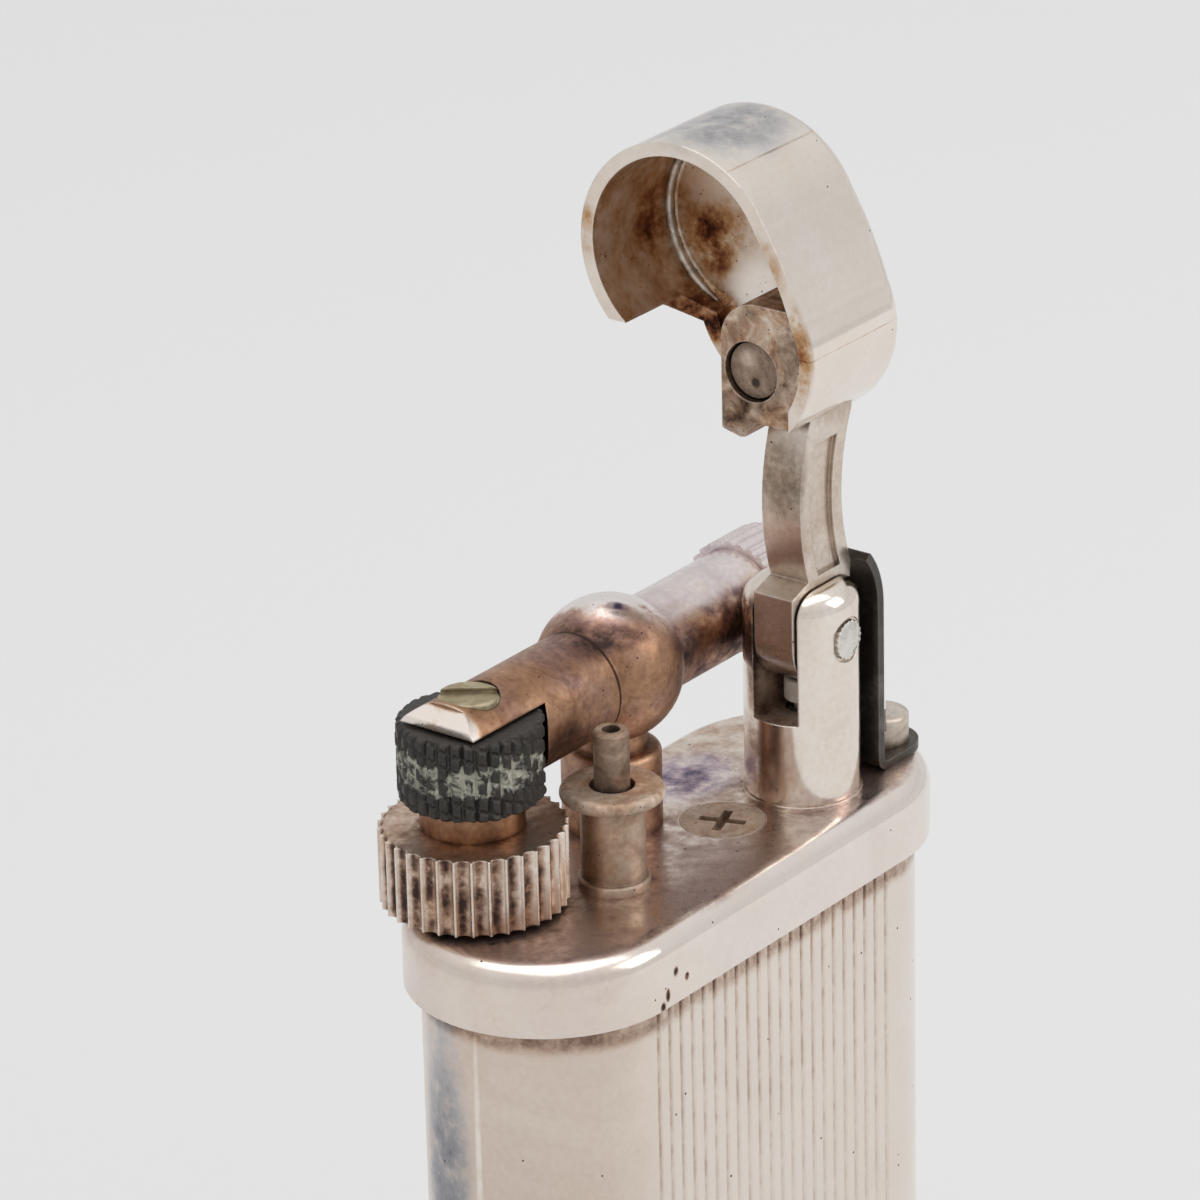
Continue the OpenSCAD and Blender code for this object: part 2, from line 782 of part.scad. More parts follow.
module valve_body() {
    color("goldenrod")
        translate([burner_x, burner_y, 0])
            difference() {
                union() {
                    translate([0, 0, lid_z])
                        cylinder(r = valve_r + 0.5, h = valve_flange_t);
                    translate([0, 0, lid_z - valve_deep])
                        cylinder(r = valve_r, h = valve_deep + e);
                }
                translate([0, 0, chamber_z0])
                    cylinder(r = nozzle_r + run_fit, h = valve_deep + 2);
                translate([0, 0, chamber_z0])
                    cylinder(r = 1.2, h = chamber_z1 - chamber_z0);
                translate([0, 0, ring_z - 0.35])
                    cylinder(r = nozzle_r + 2 * ring_r + 0.12, h = 0.7);
                translate([0, 0, lid_z - valve_deep - 1])
                    cylinder(r = 0.3, h = 4);
                translate([0, 0, lid_z - valve_deep - 1])
                    cylinder(r = 1, h = 1.8);
            }
}

module nozzle_ring() {
    color("dimgray")
        translate([burner_x, burner_y, 0])
            ring(nozzle_r + ring_r + 0.05, ring_r, ring_z);
}

module valve_pad() {
    color("dimgray")
        translate([burner_x, burner_y, stem_end - 0.6])
            cylinder(r = 0.8, h = 0.6);
}

module flow_filter() {
    color("tan")
        translate([burner_x, burner_y, lid_z - valve_deep])
            cylinder(r = 1 - seat_fit, h = 0.8);
}

module ball_post() {
    color("silver")
        translate([post_x, tube_y, body_h])
            difference() {
                union() {
                    rotate_extrude()
                        round_top(0, post_r, 0, post_h, 0.4);
                    cylinder(r = neck_r, h = tube_z - flint_bore - 1.3);
                }
                translate([0, 0, -1])
                    cylinder(r = axle_r + seat_fit, h = 4.2);
            }
}

module post_screw() {
    color("silver")
        translate([post_x, tube_y, under_z])
            difference() {
                union() {
                    translate([0, 0, -0.8])
                        cylinder(r = 1.7, h = 0.8);
                    translate([0, 0, -0.1])
                        cylinder(r = axle_r, h = cap_t + 3);
                }
                translate([-3, -slot_w / 2, -1])
                    cube([6, slot_w, 0.5]);
            }
}

// Ball that carries both tubes, drilled for the flint's spring
module tube_ball() {
    color("silver")
        translate([post_x, tube_y, body_h + tube_z])
            difference() {
                union() {
                    sphere(ball_r);
                    translate([-seam_d, 0, 0])
                        rotate([0, 90, 0])
                            cylinder(r = front_r, h = seam_d);
                }
                translate([-seam_d - 4, -4, -4])
                    cube([4, 8, 8]);
                translate([-seam_d - 1, 0, 0])
                    rotate([0, 90, 0])
                        cylinder(r = flint_bore, h = seam_d + ball_r + 2);
                translate([1, 0, 0])
                    rotate([0, 90, 0])
                        cylinder(r = rear_r + seat_fit, h = ball_r + 1);
                translate([0, 0, -tube_z])
                    cylinder(r = neck_r + seat_fit, h = tube_z - flint_bore - 1.3);
            }
}

module front_flint_tube() {
    color("silver")
        translate([0, tube_y, body_h])
            difference() {
                translate([wheel_x - tongue_len, 0, tube_z])
                    rotate([0, 90, 0])
                        cylinder(r = front_r, h = seam_x - wheel_x + tongue_len);
                translate([wheel_x + spark_r - 0.6, 0, tube_z])
                    rotate([0, 90, 0])
                        cylinder(r = flint_bore, h = 10);
                translate([wheel_x, 0, tube_z - front_r - 1])
                    cylinder(r = spark_r + 0.15, h = tongue_z - tube_z + front_r + 1);
                translate([wheel_x - tongue_len - 1, -front_r - 1, tube_z - front_r - 1])
                    cube([tongue_len + 1 + 1.6, 2 * front_r + 2, tongue_z - tube_z + front_r + 1]);
                hole(wheel_x, 0, axle_r + seat_fit, tongue_z - 1, tongue_z + 3);
                hole(wheel_x, 0, axle_head_r + seat_fit, tongue_z + 0.5, tongue_z + 3);
                translate([wheel_x - tongue_len, 0, tongue_z + 0.35])
                    rotate([0, -35, 0])
                        translate([-2, -4, 0])
                            cube([3, 8, 2]);
            }
}

module rear_flint_tube() {
    color("silver")
        translate([0, tube_y, body_h + tube_z])
            difference() {
                union() {
                    translate([post_x + 1, 0, 0])
                        rotate([0, 90, 0])
                            cylinder(r = rear_r, h = rear_len - 1);
                    translate([rear_x - 0.1, 0, 0])
                        rotate([0, 90, 0])
                            cylinder(r = rear_r - 0.5, h = endcap_len - 1.2);
                }
                translate([post_x, 0, 0])
                    rotate([0, 90, 0])
                        cylinder(r = flint_bore, h = rear_len + endcap_len);
            }
}

module flint() {
    color("dimgray")
        translate([flint_x0, tube_y, body_h + tube_z])
            rotate([0, 90, 0])
                cylinder(r = flint_r, h = flint_len);
}

module flint_plunger() {
    color("goldenrod")
        translate([plunger_x0, tube_y, body_h + tube_z])
            rotate([0, 90, 0]) {
                cylinder(r = flint_r, h = plunger_t);
                cylinder(r = 0.6, h = plunger_t + 1.6);
            }
}

module flint_spring() {
    color("gray")
        translate([spring_x0, tube_y, body_h + tube_z])
            rotate([0, 90, 0])
                coil(flint_coil_r, flint_wire, spring_x1 - spring_x0, flint_turns);
}

// Screw cap with a fluted rim
module flint_cap() {
    color("silver")
        translate([rear_x, tube_y, body_h + tube_z])
            rotate([0, 90, 0])
                difference() {
                    rotate_extrude()
                        round_top(0, endcap_r, 0, endcap_len, 0.5);
                    translate([0, 0, -1])
                        cylinder(r = rear_r - 0.5 + run_fit, h = endcap_len + 0.2);
                    for (i = [0:27])
                        rotate([0, 0, i * 360 / 28])
                            translate([endcap_r + 0.12, 0, -1])
                                cylinder(r = 0.28, h = endcap_len + 2, $fn = 16);
                }
}

module wheel_washer() {
    color("silver")
        translate([wheel_x, tube_y, body_h])
            difference() {
                cylinder(r = 1.8, h = thumb_lift - 0.05);
                translate([0, 0, -1])
                    cylinder(r = axle_r + run_fit, h = 3);
            }
}

module thumb_wheel() {
    color("silver")
        translate([wheel_x, tube_y, body_h + wheel_z0])
            linear_extrude(height = thumb_h)
                difference() {
                    circle(thumb_r);
                    circle(axle_r + run_fit);
                    for (i = [0:flutes - 1])
                        rotate(i * 360 / flutes)
                            translate([thumb_r + flute_r - flute_deep, 0])
                                circle(flute_r, $fn = 24);
                }
}

module wheel_collar() {
    color("goldenrod")
        translate([wheel_x, tube_y, body_h + collar_z0])
            difference() {
                cylinder(r = collar_r, h = collar_h);
                translate([0, 0, -1])
                    cylinder(r = axle_r + run_fit, h = collar_h + 2);
            }
}

// Hardened wheel, its rim cut both ways into pointed teeth
module spark_wheel() {
    step = spark_h / spark_rows;
    cols = 2 * spark_teeth;
    pts = [for (j = [0:2 * spark_rows]) for (i = [0:cols - 1])
        let (r = (i + j) % 2 == 0 ? spark_r : spark_r - spark_deep, a = i * 360 / cols)
        [r * cos(a), r * sin(a), j * step / 2]];
    caps = [[0, 0, 0], [0, 0, spark_h]];
    top = 2 * spark_rows * cols;
    low_c = len(pts);
    skin = [for (j = [0:2 * spark_rows - 1]) for (i = [0:cols - 1]) for (h = [0:1])
        let (a = j * cols + i, b = j * cols + (i + 1) % cols, c = b + cols, d = a + cols)
        (i + j) % 2 == 0 ? (h == 0 ? [a, d, b] : [b, d, c]) : (h == 0 ? [a, c, b] : [a, d, c])];
    low = [for (i = [0:cols - 1]) [low_c, i, (i + 1) % cols]];
    high = [for (i = [0:cols - 1]) [low_c + 1, top + (i + 1) % cols, top + i]];
    color("dimgray")
        translate([wheel_x, tube_y, body_h + spark_z0])
            difference() {
                polyhedron(points = concat(pts, caps), faces = concat(skin, low, high));
                translate([0, 0, -1])
                    cylinder(r = axle_r + run_fit, h = spark_h + 2);
            }
}

module wheel_axle() {
    color("silver")
        translate([wheel_x, tube_y, body_h])
            difference() {
                union() {
                    translate([0, 0, -cap_t - 0.8])
                        cylinder(r = axle_r, h = cap_t + 0.8 + tongue_z + 0.6);
                    translate([0, 0, tongue_z + 0.5])
                        rotate_extrude()
                            round_top(0, axle_head_r, 0, 0.55, 0.12);
                }
                translate([0, 0, tongue_z + 1.05])
                    rotate([0, 0, -52.5])
                        driver_slot(axle_head_r, axle_slot_w, axle_slot_deep, 0);
            }
}

module pillar_washer() {
    color("silver")
        translate([pillar_x, pillar_y, body_h])
            difference() {
                cylinder(r = pillar_r + 0.08, h = washer_t);
                translate([0, 0, -1])
                    cylinder(r = pillar_r - 0.9 + seat_fit, h = 3);
            }
}

// Slotted pillar that holds the arm
module pillar() {
    color("silver")
        translate([pillar_x, pillar_y, body_h])
            difference() {
                union() {
                    rotate_extrude()
                        round_top(0, pillar_r, washer_t, pillar_h, pillar_edge);
                    translate([0, 0, -cap_t])
                        cylinder(r = pillar_r - 0.9, h = cap_t + washer_t + e);
                }
                translate([-pillar_r - 1, slot_off - slot_half, slot_z])
                    cube([2 * pillar_r + 2, 2 * slot_half, pillar_h]);
                hole(0, slot_off, rod_r + run_fit, -cap_t - 1, slot_z + 1);
                hole(0, slot_off, head_r - 0.05, slot_z - rod_pocket, slot_z + 1);
                translate([0, 4, pin_z])
                    rotate([90, 0, 0])
                        cylinder(r = pin_r + seat_fit, h = 8);
                translate([0, -pillar_r + 0.2, pin_z])
                    rotate([90, 0, 0])
                        cylinder(r = pin_head_r + 0.15, h = 2);
            }
}

// Pin with a domed head and a serrated rim
module hinge_pin() {
    color("silver")
        translate([pillar_x, pillar_y - pillar_r + 0.2, body_h + pin_z])
            rotate([-90, 0, 0]) {
                cylinder(r = pin_r, h = 2 * pillar_r - 0.5);
                translate([0, 0, -0.2])
                    linear_extrude(height = 0.2)
                        polygon([for (i = [0:39]) (pin_head_r - (i % 2) * 0.1)
                            * [cos(i * 9), sin(i * 9)]]);
                translate([0, 0, -0.4])
                    cylinder(r1 = pin_head_r - 0.5, r2 = pin_head_r - 0.12, h = 0.2);
            }
}

// Side view of the arm, heights from the plate
module neck_outline(inset, z0, z1) {
    intersection() {
        translate([neck_front_x + neck_front_r, neck_mid_z])
            circle(neck_front_r - inset, $fn = 128);
        translate([0, z0])
            square([20, z1 - z0]);
        difference() {
            translate([0, z0])
                square([neck_back_x + 3, z1 - z0]);
            translate([neck_back_x + neck_back_r, neck_mid_z])
                circle(neck_back_r + inset, $fn = 128);
        }
    }
}

module arm_side() {
    intersection() {
        neck_outline(0, pin_z + 3.05, turn_x + 4.6);
        square([neck_end_x, turn_x + 5]);
    }
    translate([pillar_x - heel_off, pin_z])
        circle(heel_r);
    polygon([[pillar_x - heel_off - heel_r, pin_z], [pillar_x + heel_r - heel_off, pin_z],
        [pillar_x + 2.27, pin_z + 3.1], [neck_front_x + 0.68, pin_z + 3.1],
        [pillar_x - heel_off - heel_r, pin_z + 2.62]]);
}

module arm() {
    color("silver")
        translate([0, arm_y + arm_t / 2, body_h])
            rotate([90, 0, 0])
                difference() {
                    linear_extrude(height = arm_t)
                        union() {
                            arm_side();
                            translate([7.4, turn_x + 4.4])
                                square([2.9, 4]);
                            translate([7.4, turn_x + 5])
                                square([inner_z - arm_dz - 7.4, 3.4]);
                        }
                    translate([pillar_x, pin_z, -1])
                        cylinder(r = pin_r + run_fit, h = arm_t + 2);
                    translate([0, 0, arm_t - panel_deep])
                        linear_extrude(height = 1)
                            neck_outline(panel_edge, pin_z + 3.2, turn_x + 2.3);
                }
}

// Closed form of the hood, drawn in from the outside by inset. Its lobes run past both ends, then all are cut level
module hood_form(inset, z0, z1, edge) {
    near = side_r - root_r;
    full = z1 + 0.04 * edge;
    turns = [root_turn, (lobe_turn + root_turn) / 2, lobe_turn];
    intersection() {
        union() {
            translate([lobe_x, lobe_y, 0])
                rotate([0, 0, 30])
                    rotate_extrude($fn = 96)
                        round_top(0, lobe_r - inset, z0 - 1, full, edge);
            translate([root_x, root_y, 0])
                rotate([0, 0, 30])
                    rotate_extrude($fn = 96)
                        round_top(0, root_r - inset, z0 - 1.1, full, edge);
            translate([side_c[0], side_c[1], 0])
                rotate([0, 0, lobe_turn])
                    rotate_extrude(angle = root_turn - lobe_turn, $fn = 96)
                        round_top(near, side_r - lobe_proud - inset, z0 - 1.2, full, edge);
            translate([0, 0, z0 - 1.3])
                linear_extrude(height = full + 1.5 - z0)
                    polygon(concat([lobe_c, lobe_c + [3, 0], root_c + 3 * [cos(70), sin(70)], root_c],
                        [for (t = turns) side_c + (near + 0.5) * [cos(t), sin(t)]]));
        }
        translate([lobe_x - 10, root_y - 10, z0])
            cube([20, 25, z1 - z0]);
    }
}

// Stands the closed form up on the pin
module open_up() {
    translate([pillar_x, 0, body_h + pin_z])
        rotate([0, 90, 0])
            translate([-pillar_x, 0, -pin_z])
                children();
}

// Arch that clears the flint tube and its ball in the closed hood
module tube_room() {
    translate([far_x, tube_y + arch_off, arch_z])
        rotate([0, 90, 0])
            cylinder(r = arch_r, h = 10);
    translate([far_x, tube_y + arch_off - arch_r, 0])
        cube([10, 2 * arch_r, arch_z]);
    translate([post_x, tube_y, tube_z])
        sphere(ball_gap_r);
}

module hood() {
    color("silver")
        open_up()
            difference() {
                hood_form(0, rim_z, crown_z, crown_edge);
                hood_form(hood_wall, rim_z - 1, inner_z, cavity_edge);
                tube_room();
                translate([root_x + 2.3, arm_y - arm_t / 2 - seat_fit, 0])
                    cube([6, tube_y - arm_y, neck_end_x + arm_dz + 0.03]);
                translate([-8.4 - seat_fit, arm_y - arm_t / 2 - seat_fit, 7.4 + arm_dz])
                    cube([3.4 + 2 * seat_fit, arm_t + 2 * seat_fit, inner_z + seat_fit - 7.4 - arm_dz]);
            }
}

// Block soldered in the hood, its lug reaches down beside the arm
module pad_block() {
    arm_low = arm_y - arm_t / 2;
    arm_high = arm_y + arm_t / 2;
    color("dimgray")
        open_up()
            difference() {
                union() {
                    intersection() {
                        hood_form(hood_wall + 0.03, block_z, inner_z, cavity_edge);
                        translate([block_x, -8, block_z])
                            cube([-4 - block_x, block_y + 8, 20]);
                    }
                    translate([0, 0, block_z])
                        linear_extrude(height = neck_end_x + arm_dz - block_z)
                            polygon([[-5.5, arm_low], [-5.5, block_y], [block_end, block_y],
                                [block_end + 0.45, -0.35], [block_end + 0.3, -0.75],
                                [block_end - 0.75, arm_high], [block_end - 0.75, arm_low]]);
                }
                translate([block_x - 1, block_y - block_round, 0])
                    difference() {
                        cube([block_round + 1, block_round + 1, 20]);
                        translate([block_round + 1, 0, -1])
                            cylinder(r = block_round, h = 22);
                    }
                translate([post_x, tube_y, tube_z])
                    sphere(ball_gap_r);
                translate([-8.6, arm_low - e, 7.4 + arm_dz])
                    cube([9, arm_t + 2 * e, 10]);
                translate([-4.65, arm_low - e, 6.7 + arm_dz])
                    cube([6.65, arm_t + 2 * e, 10]);
                translate([burner_x, pad_y, 0])
                    cylinder(r = recess_r, h = block_z + recess_deep);
                translate([block_end - 0.15, -8, block_z])
                    rotate([0, -45, 0])
                        translate([0, 0, -4])
                            cube([4, 12, 4]);
            }
}

module pad() {
    color("gray")
        open_up()
            translate([burner_x, pad_y, block_z + pad_sink])
                cylinder(r = pad_r, h = recess_deep - pad_sink);
}

module follower() {
    color("silver")
        translate([pillar_x, slot_y, 0]) {
            translate([0, 0, body_h + head_z - head_t])
                rotate_extrude()
                    round_top(0, head_r, 0, head_t, 0.2);
            translate([0, 0, lever_z1 + 0.03])
                cylinder(r = rod_r, h = body_h + head_z - head_t - lever_z1);
        }
}

module follower_spring() {
    color("gray")
        translate([pillar_x, slot_y, body_h + slot_z - rod_pocket])
            coil(0.83, rod_wire, rod_pocket + head_z - head_t - slot_z - 0.02, rod_turns);
}

// Strip bent up from its foot and curled to the arm
module leaf_side() {
    curl = 2 * atan(leaf_lean / (leaf_tip_z - leaf_bend_z));
    curl_r = (leaf_tip_z - leaf_bend_z) / sin(curl);
    cx = leaf_x - curl_r;
    translate([leaf_x, leaf_t + leaf_bend])
        square([leaf_t, leaf_bend_z - leaf_t - leaf_bend]);
    intersection() {
        difference() {
            translate([cx, leaf_bend_z])
                circle(curl_r + leaf_t, $fn = 96);
            translate([cx, leaf_bend_z])
                circle(curl_r, $fn = 96);
        }
        polygon([[cx, leaf_bend_z], [cx + 9, leaf_bend_z], [cx + 9 * cos(curl), leaf_bend_z + 9 * sin(curl)]]);
    }
    intersection() {
        difference() {
            translate([leaf_x + leaf_t + leaf_bend, leaf_t + leaf_bend])
                circle(leaf_t + leaf_bend);
            translate([leaf_x + leaf_t + leaf_bend, leaf_t + leaf_bend])
                circle(leaf_bend);
        }
        translate([leaf_x, 0])
            square(leaf_t + leaf_bend);
    }
}

module leaf_spring() {
    color("dimgray")
        translate([0, 0, body_h])
            difference() {
                union() {
                    translate([0, leaf_y + leaf_w / 2, 0])
                        rotate([90, 0, 0])
                            linear_extrude(height = leaf_w)
                                leaf_side();
                    translate([leaf_x + leaf_t + leaf_bend, leaf_y - leaf_w / 2, 0])
                        cube([leaf_screw_x - leaf_x - leaf_t - leaf_bend, leaf_w, leaf_t]);
                    translate([leaf_screw_x, leaf_y, 0])
                        cylinder(r = leaf_w / 2, h = leaf_t);
                }
                hole(leaf_screw_x, leaf_y, shank_r + seat_fit, -1, 1);
            }
}

module leaf_screw() {
    color("silver")
        translate([leaf_screw_x, leaf_y, body_h])
            difference() {
                union() {
                    translate([0, 0, leaf_t])
                        rotate_extrude()
                            round_top(0, leaf_head_r, 0, leaf_head_h, 0.2);
                    translate([0, 0, -cap_t])
                        cylinder(r = shank_r, h = cap_t + 0.2 + leaf_t);
                }
                rotate([0, 0, 35])
                    driver_slot(leaf_head_r, slot_w, 0.55, leaf_t + leaf_head_h);
            }
}

// Bracket soldered under the cap plate, its two ears hold the lever's pin
module lever_bracket() {
    ear_y = lever_w / 2 + 0.1;
    color("goldenrod")
        difference() {
            union() {
                translate([lever_pin_x - 1.1, lever_y - ear_y - bracket_t, under_z - bracket_t])
                    cube([2.2, 2 * ear_y + 2 * bracket_t, bracket_t]);
                for (y = [lever_y - ear_y - bracket_t, lever_y + ear_y]) {
                    translate([lever_pin_x - 1.1, y, lever_pin_z])
                        cube([2.2, bracket_t, under_z - lever_pin_z]);
                    translate([lever_pin_x, y + bracket_t, lever_pin_z])
                        rotate([90, 0, 0])
                            cylinder(r = 1.1, h = bracket_t);
                }
            }
            translate([lever_pin_x, lever_y + 8, lever_pin_z])
                rotate([90, 0, 0])
                    cylinder(r = lever_pin_r + seat_fit, h = 16);
        }
}

module lever_pin() {
    color("silver")
        translate([lever_pin_x, lever_y + lever_w / 2 + 0.1 + bracket_t, lever_pin_z])
            rotate([90, 0, 0])
                cylinder(r = lever_pin_r, h = lever_w + 0.2 + 2 * bracket_t);
}

// Flat lever: forked round the nozzle, drilled for the plate screw
module valve_lever() {
    fork_r = nozzle_r + 0.25;
    color("goldenrod")
        difference() {
            union() {
                translate([burner_x - 0.9, lever_y - lever_w / 2, lever_z0])
                    cube([lever_pin_x - burner_x + 0.9, lever_w, lever_t]);
                translate([lever_pin_x, lever_y + lever_w / 2, lever_pin_z])
                    rotate([90, 0, 0])
                        cylinder(r = lever_pin_r + 0.25, h = lever_w);
            }
            hole(burner_x, burner_y, fork_r, lever_z0 - 1, lever_z1 + 1);
            translate([burner_x - 3, burner_y - fork_r, lever_z0 - 1])
                cube([3, 2 * fork_r, lever_t + 2]);
            hole(plate_screw_x, plate_screw_y, axle_r + 0.35, lever_z0 - 1, lever_z1 + 1);
            translate([lever_pin_x, lever_y + 8, lever_pin_z])
                rotate([90, 0, 0])
                    cylinder(r = lever_pin_r + run_fit, h = 16);
        }
}

body_shell();
base_plate();
top_plate();
plate_screw();
tank_cup();
tank_lid();
filler_body();
filler_stem();
filler_seal();
filler_spring();
filler_retainer();
adjuster_body();
adjuster_screw();
adjuster_ring();
burner_barrel();
burner_flange();
nozzle();
nozzle_spring();
valve_body();
nozzle_ring();
valve_pad();
flow_filter();
ball_post();
post_screw();
tube_ball();
front_flint_tube();
rear_flint_tube();
flint();
flint_plunger();
flint_spring();
flint_cap();
wheel_washer();
thumb_wheel();
wheel_collar();
spark_wheel();
wheel_axle();
pillar_washer();
pillar();
hinge_pin();
arm();
hood();
pad_block();
pad();
follower();
follower_spring();
leaf_spring();
leaf_screw();
lever_bracket();
lever_pin();
valve_lever();
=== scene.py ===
"""Looks of a silver-plated gas pocket lighter with a lift arm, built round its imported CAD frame. Metres."""

import math
import random

import bpy
from mathutils import Matrix, Vector


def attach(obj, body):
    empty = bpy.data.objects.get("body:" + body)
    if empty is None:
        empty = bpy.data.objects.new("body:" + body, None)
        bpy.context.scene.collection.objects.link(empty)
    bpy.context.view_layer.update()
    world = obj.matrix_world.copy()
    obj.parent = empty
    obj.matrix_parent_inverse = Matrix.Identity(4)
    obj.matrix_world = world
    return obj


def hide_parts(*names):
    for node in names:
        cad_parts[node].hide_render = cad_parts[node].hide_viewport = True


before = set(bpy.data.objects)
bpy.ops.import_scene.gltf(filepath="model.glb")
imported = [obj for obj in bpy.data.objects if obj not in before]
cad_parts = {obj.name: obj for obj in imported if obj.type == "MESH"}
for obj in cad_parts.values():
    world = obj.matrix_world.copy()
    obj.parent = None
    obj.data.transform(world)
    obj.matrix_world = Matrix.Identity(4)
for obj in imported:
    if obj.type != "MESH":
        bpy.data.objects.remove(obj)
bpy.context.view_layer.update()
MM = 0.001

# ---------------------------------------------------------------- places in the frame, millimetres
WHEEL = (-11.6, 3.15)  # axis of thumb wheel and spark wheel
PILLAR = (7.87, -2.33)  # axis of the slotted pillar
SPARK_R = 3.6  # spark wheel over its teeth
SPARK_LOW = 57.75  # underside of the spark wheel
SPARK_HIGH = 61.75  # its upper face
AXLE_R = 0.93  # bore of the spark wheel
FLUTE_COUNT = 34  # flutes round the thumb wheel
FLUTE_FLOOR = 4.3  # radius just inside the flutes' bottoms
HOOD_MIDDLE = (2.72, 79.9)  # Y and Z of the hood's big lobe, open
HOOD_INNER_R = 5.12  # inner radius of that lobe
HOOD_FLOOR = 11.29  # X of the hood's inner floor, open
LINE_PITCH = 0.904  # between the sleeve's cut lines
LINE_SHIFT = 0.51  # how far their field lies off the body's middle
LINE_COUNT = 22  # lines on each side
WIDE_BAND = 2  # a band of film that fades over more than this is smooth, a narrower one is ragged


def linear(code):
    """Linear colour of an sRGB hex value."""
    parts = [int(code[i : i + 2], 16) / 255 for i in (1, 3, 5)]
    return [c / 12.92 if c <= 0.04045 else ((c + 0.055) / 1.055) ** 2.4 for c in parts] + [1.0]


def add(tree, kind, sockets=(), **settings):
    """Adds a node. sockets pairs an input's name or number with a value, or with another node's output."""
    made = tree.nodes.new(kind)
    for name, value in settings.items():
        setattr(made, name, value)
    for name, value in dict(sockets).items():
        if isinstance(value, bpy.types.NodeSocket):
            tree.links.new(value, made.inputs[name])
        else:
            made.inputs[name].default_value = value
    return made


# ---------------------------------------------------------------- camera, at the photograph's viewing angle
CAMERA_AT = (-0.23132, -0.17391, 0.18879)
CAMERA_RIGHT = (0.60197, -0.79821, -0.02249)
CAMERA_UP = (0.32763, 0.22120, 0.91854)
CAMERA_BACK = (-0.72822, -0.56029, 0.39467)
SENSOR_WIDTH = 36  # mm
LENS_LENGTH = 195.32  # mm

lens = bpy.data.cameras.new("camera")
lens.sensor_width = SENSOR_WIDTH
lens.lens = LENS_LENGTH
lens.clip_start = 0.01
camera = bpy.data.objects.new("camera", lens)
bpy.context.scene.collection.objects.link(camera)
turned = Matrix((CAMERA_RIGHT, CAMERA_UP, CAMERA_BACK)).transposed().to_4x4()
camera.matrix_world = Matrix.Translation(CAMERA_AT) @ turned
bpy.context.scene.camera = camera
bpy.context.scene.view_settings.view_transform = "Standard"

# ---------------------------------------------------------------- studio: pale floor, soft lamps, pale surroundings
FLOOR_SIZE = 6.0

floor_mesh = bpy.data.meshes.new("floor")
half = FLOOR_SIZE / 2
floor_mesh.from_pydata([(-half, -half, 0), (half, -half, 0), (half, half, 0), (-half, half, 0)], [], [(0, 1, 2, 3)])
floor = bpy.data.objects.new("floor", floor_mesh)
bpy.context.scene.collection.objects.link(floor)

paper = bpy.data.materials.new("matt_white_paper")
paper.use_nodes = True
paper.node_tree.nodes["Principled BSDF"].inputs["Base Color"].default_value = linear("#dadada")
paper.node_tree.nodes["Principled BSDF"].inputs["Roughness"].default_value = 0.9
floor_mesh.materials.append(paper)

world = bpy.data.worlds.new("studio")
world.use_nodes = True
bpy.context.scene.world = world
tree = world.node_tree
direction = add(tree, "ShaderNodeTexCoord")
height = add(tree, "ShaderNodeSeparateXYZ", {0: direction.outputs["Generated"]})
walls = add(tree, "ShaderNodeValToRGB", {0: height.outputs["Z"]})
walls.color_ramp.elements[0].position = 0.0
walls.color_ramp.elements[0].color = linear("#dedede")
walls.color_ramp.elements[1].position = 0.75
walls.color_ramp.elements[1].color = linear("#e6e6e6")
middle = walls.color_ramp.elements.new(0.3)
middle.color = linear("#d4d4d4")
tree.links.new(walls.outputs[0], tree.nodes["Background"].inputs["Color"])
tree.nodes["Background"].inputs["Strength"].default_value = 1.0


def soft_lamp(name, at, towards, size, watts):
    """A soft square lamp that faces a point of the object."""
    light = bpy.data.lights.new(name, "AREA")
    light.size = size
    light.energy = watts
    lamp = bpy.data.objects.new(name, light)
    lamp.location = at
    lamp.rotation_euler = (Vector(towards) - Vector(at)).to_track_quat("-Z", "Y").to_euler()
    bpy.context.scene.collection.objects.link(lamp)


BODY_MIDDLE = (0, 0, 0.05)
soft_lamp("overhead_lamp", (0.0, 0.0, 0.9), BODY_MIDDLE, size=0.9, watts=2.85)
soft_lamp("side_lamp", (0.35, -0.6, 0.5), BODY_MIDDLE, size=0.4, watts=1.1)

# ---------------------------------------------------------------- materials


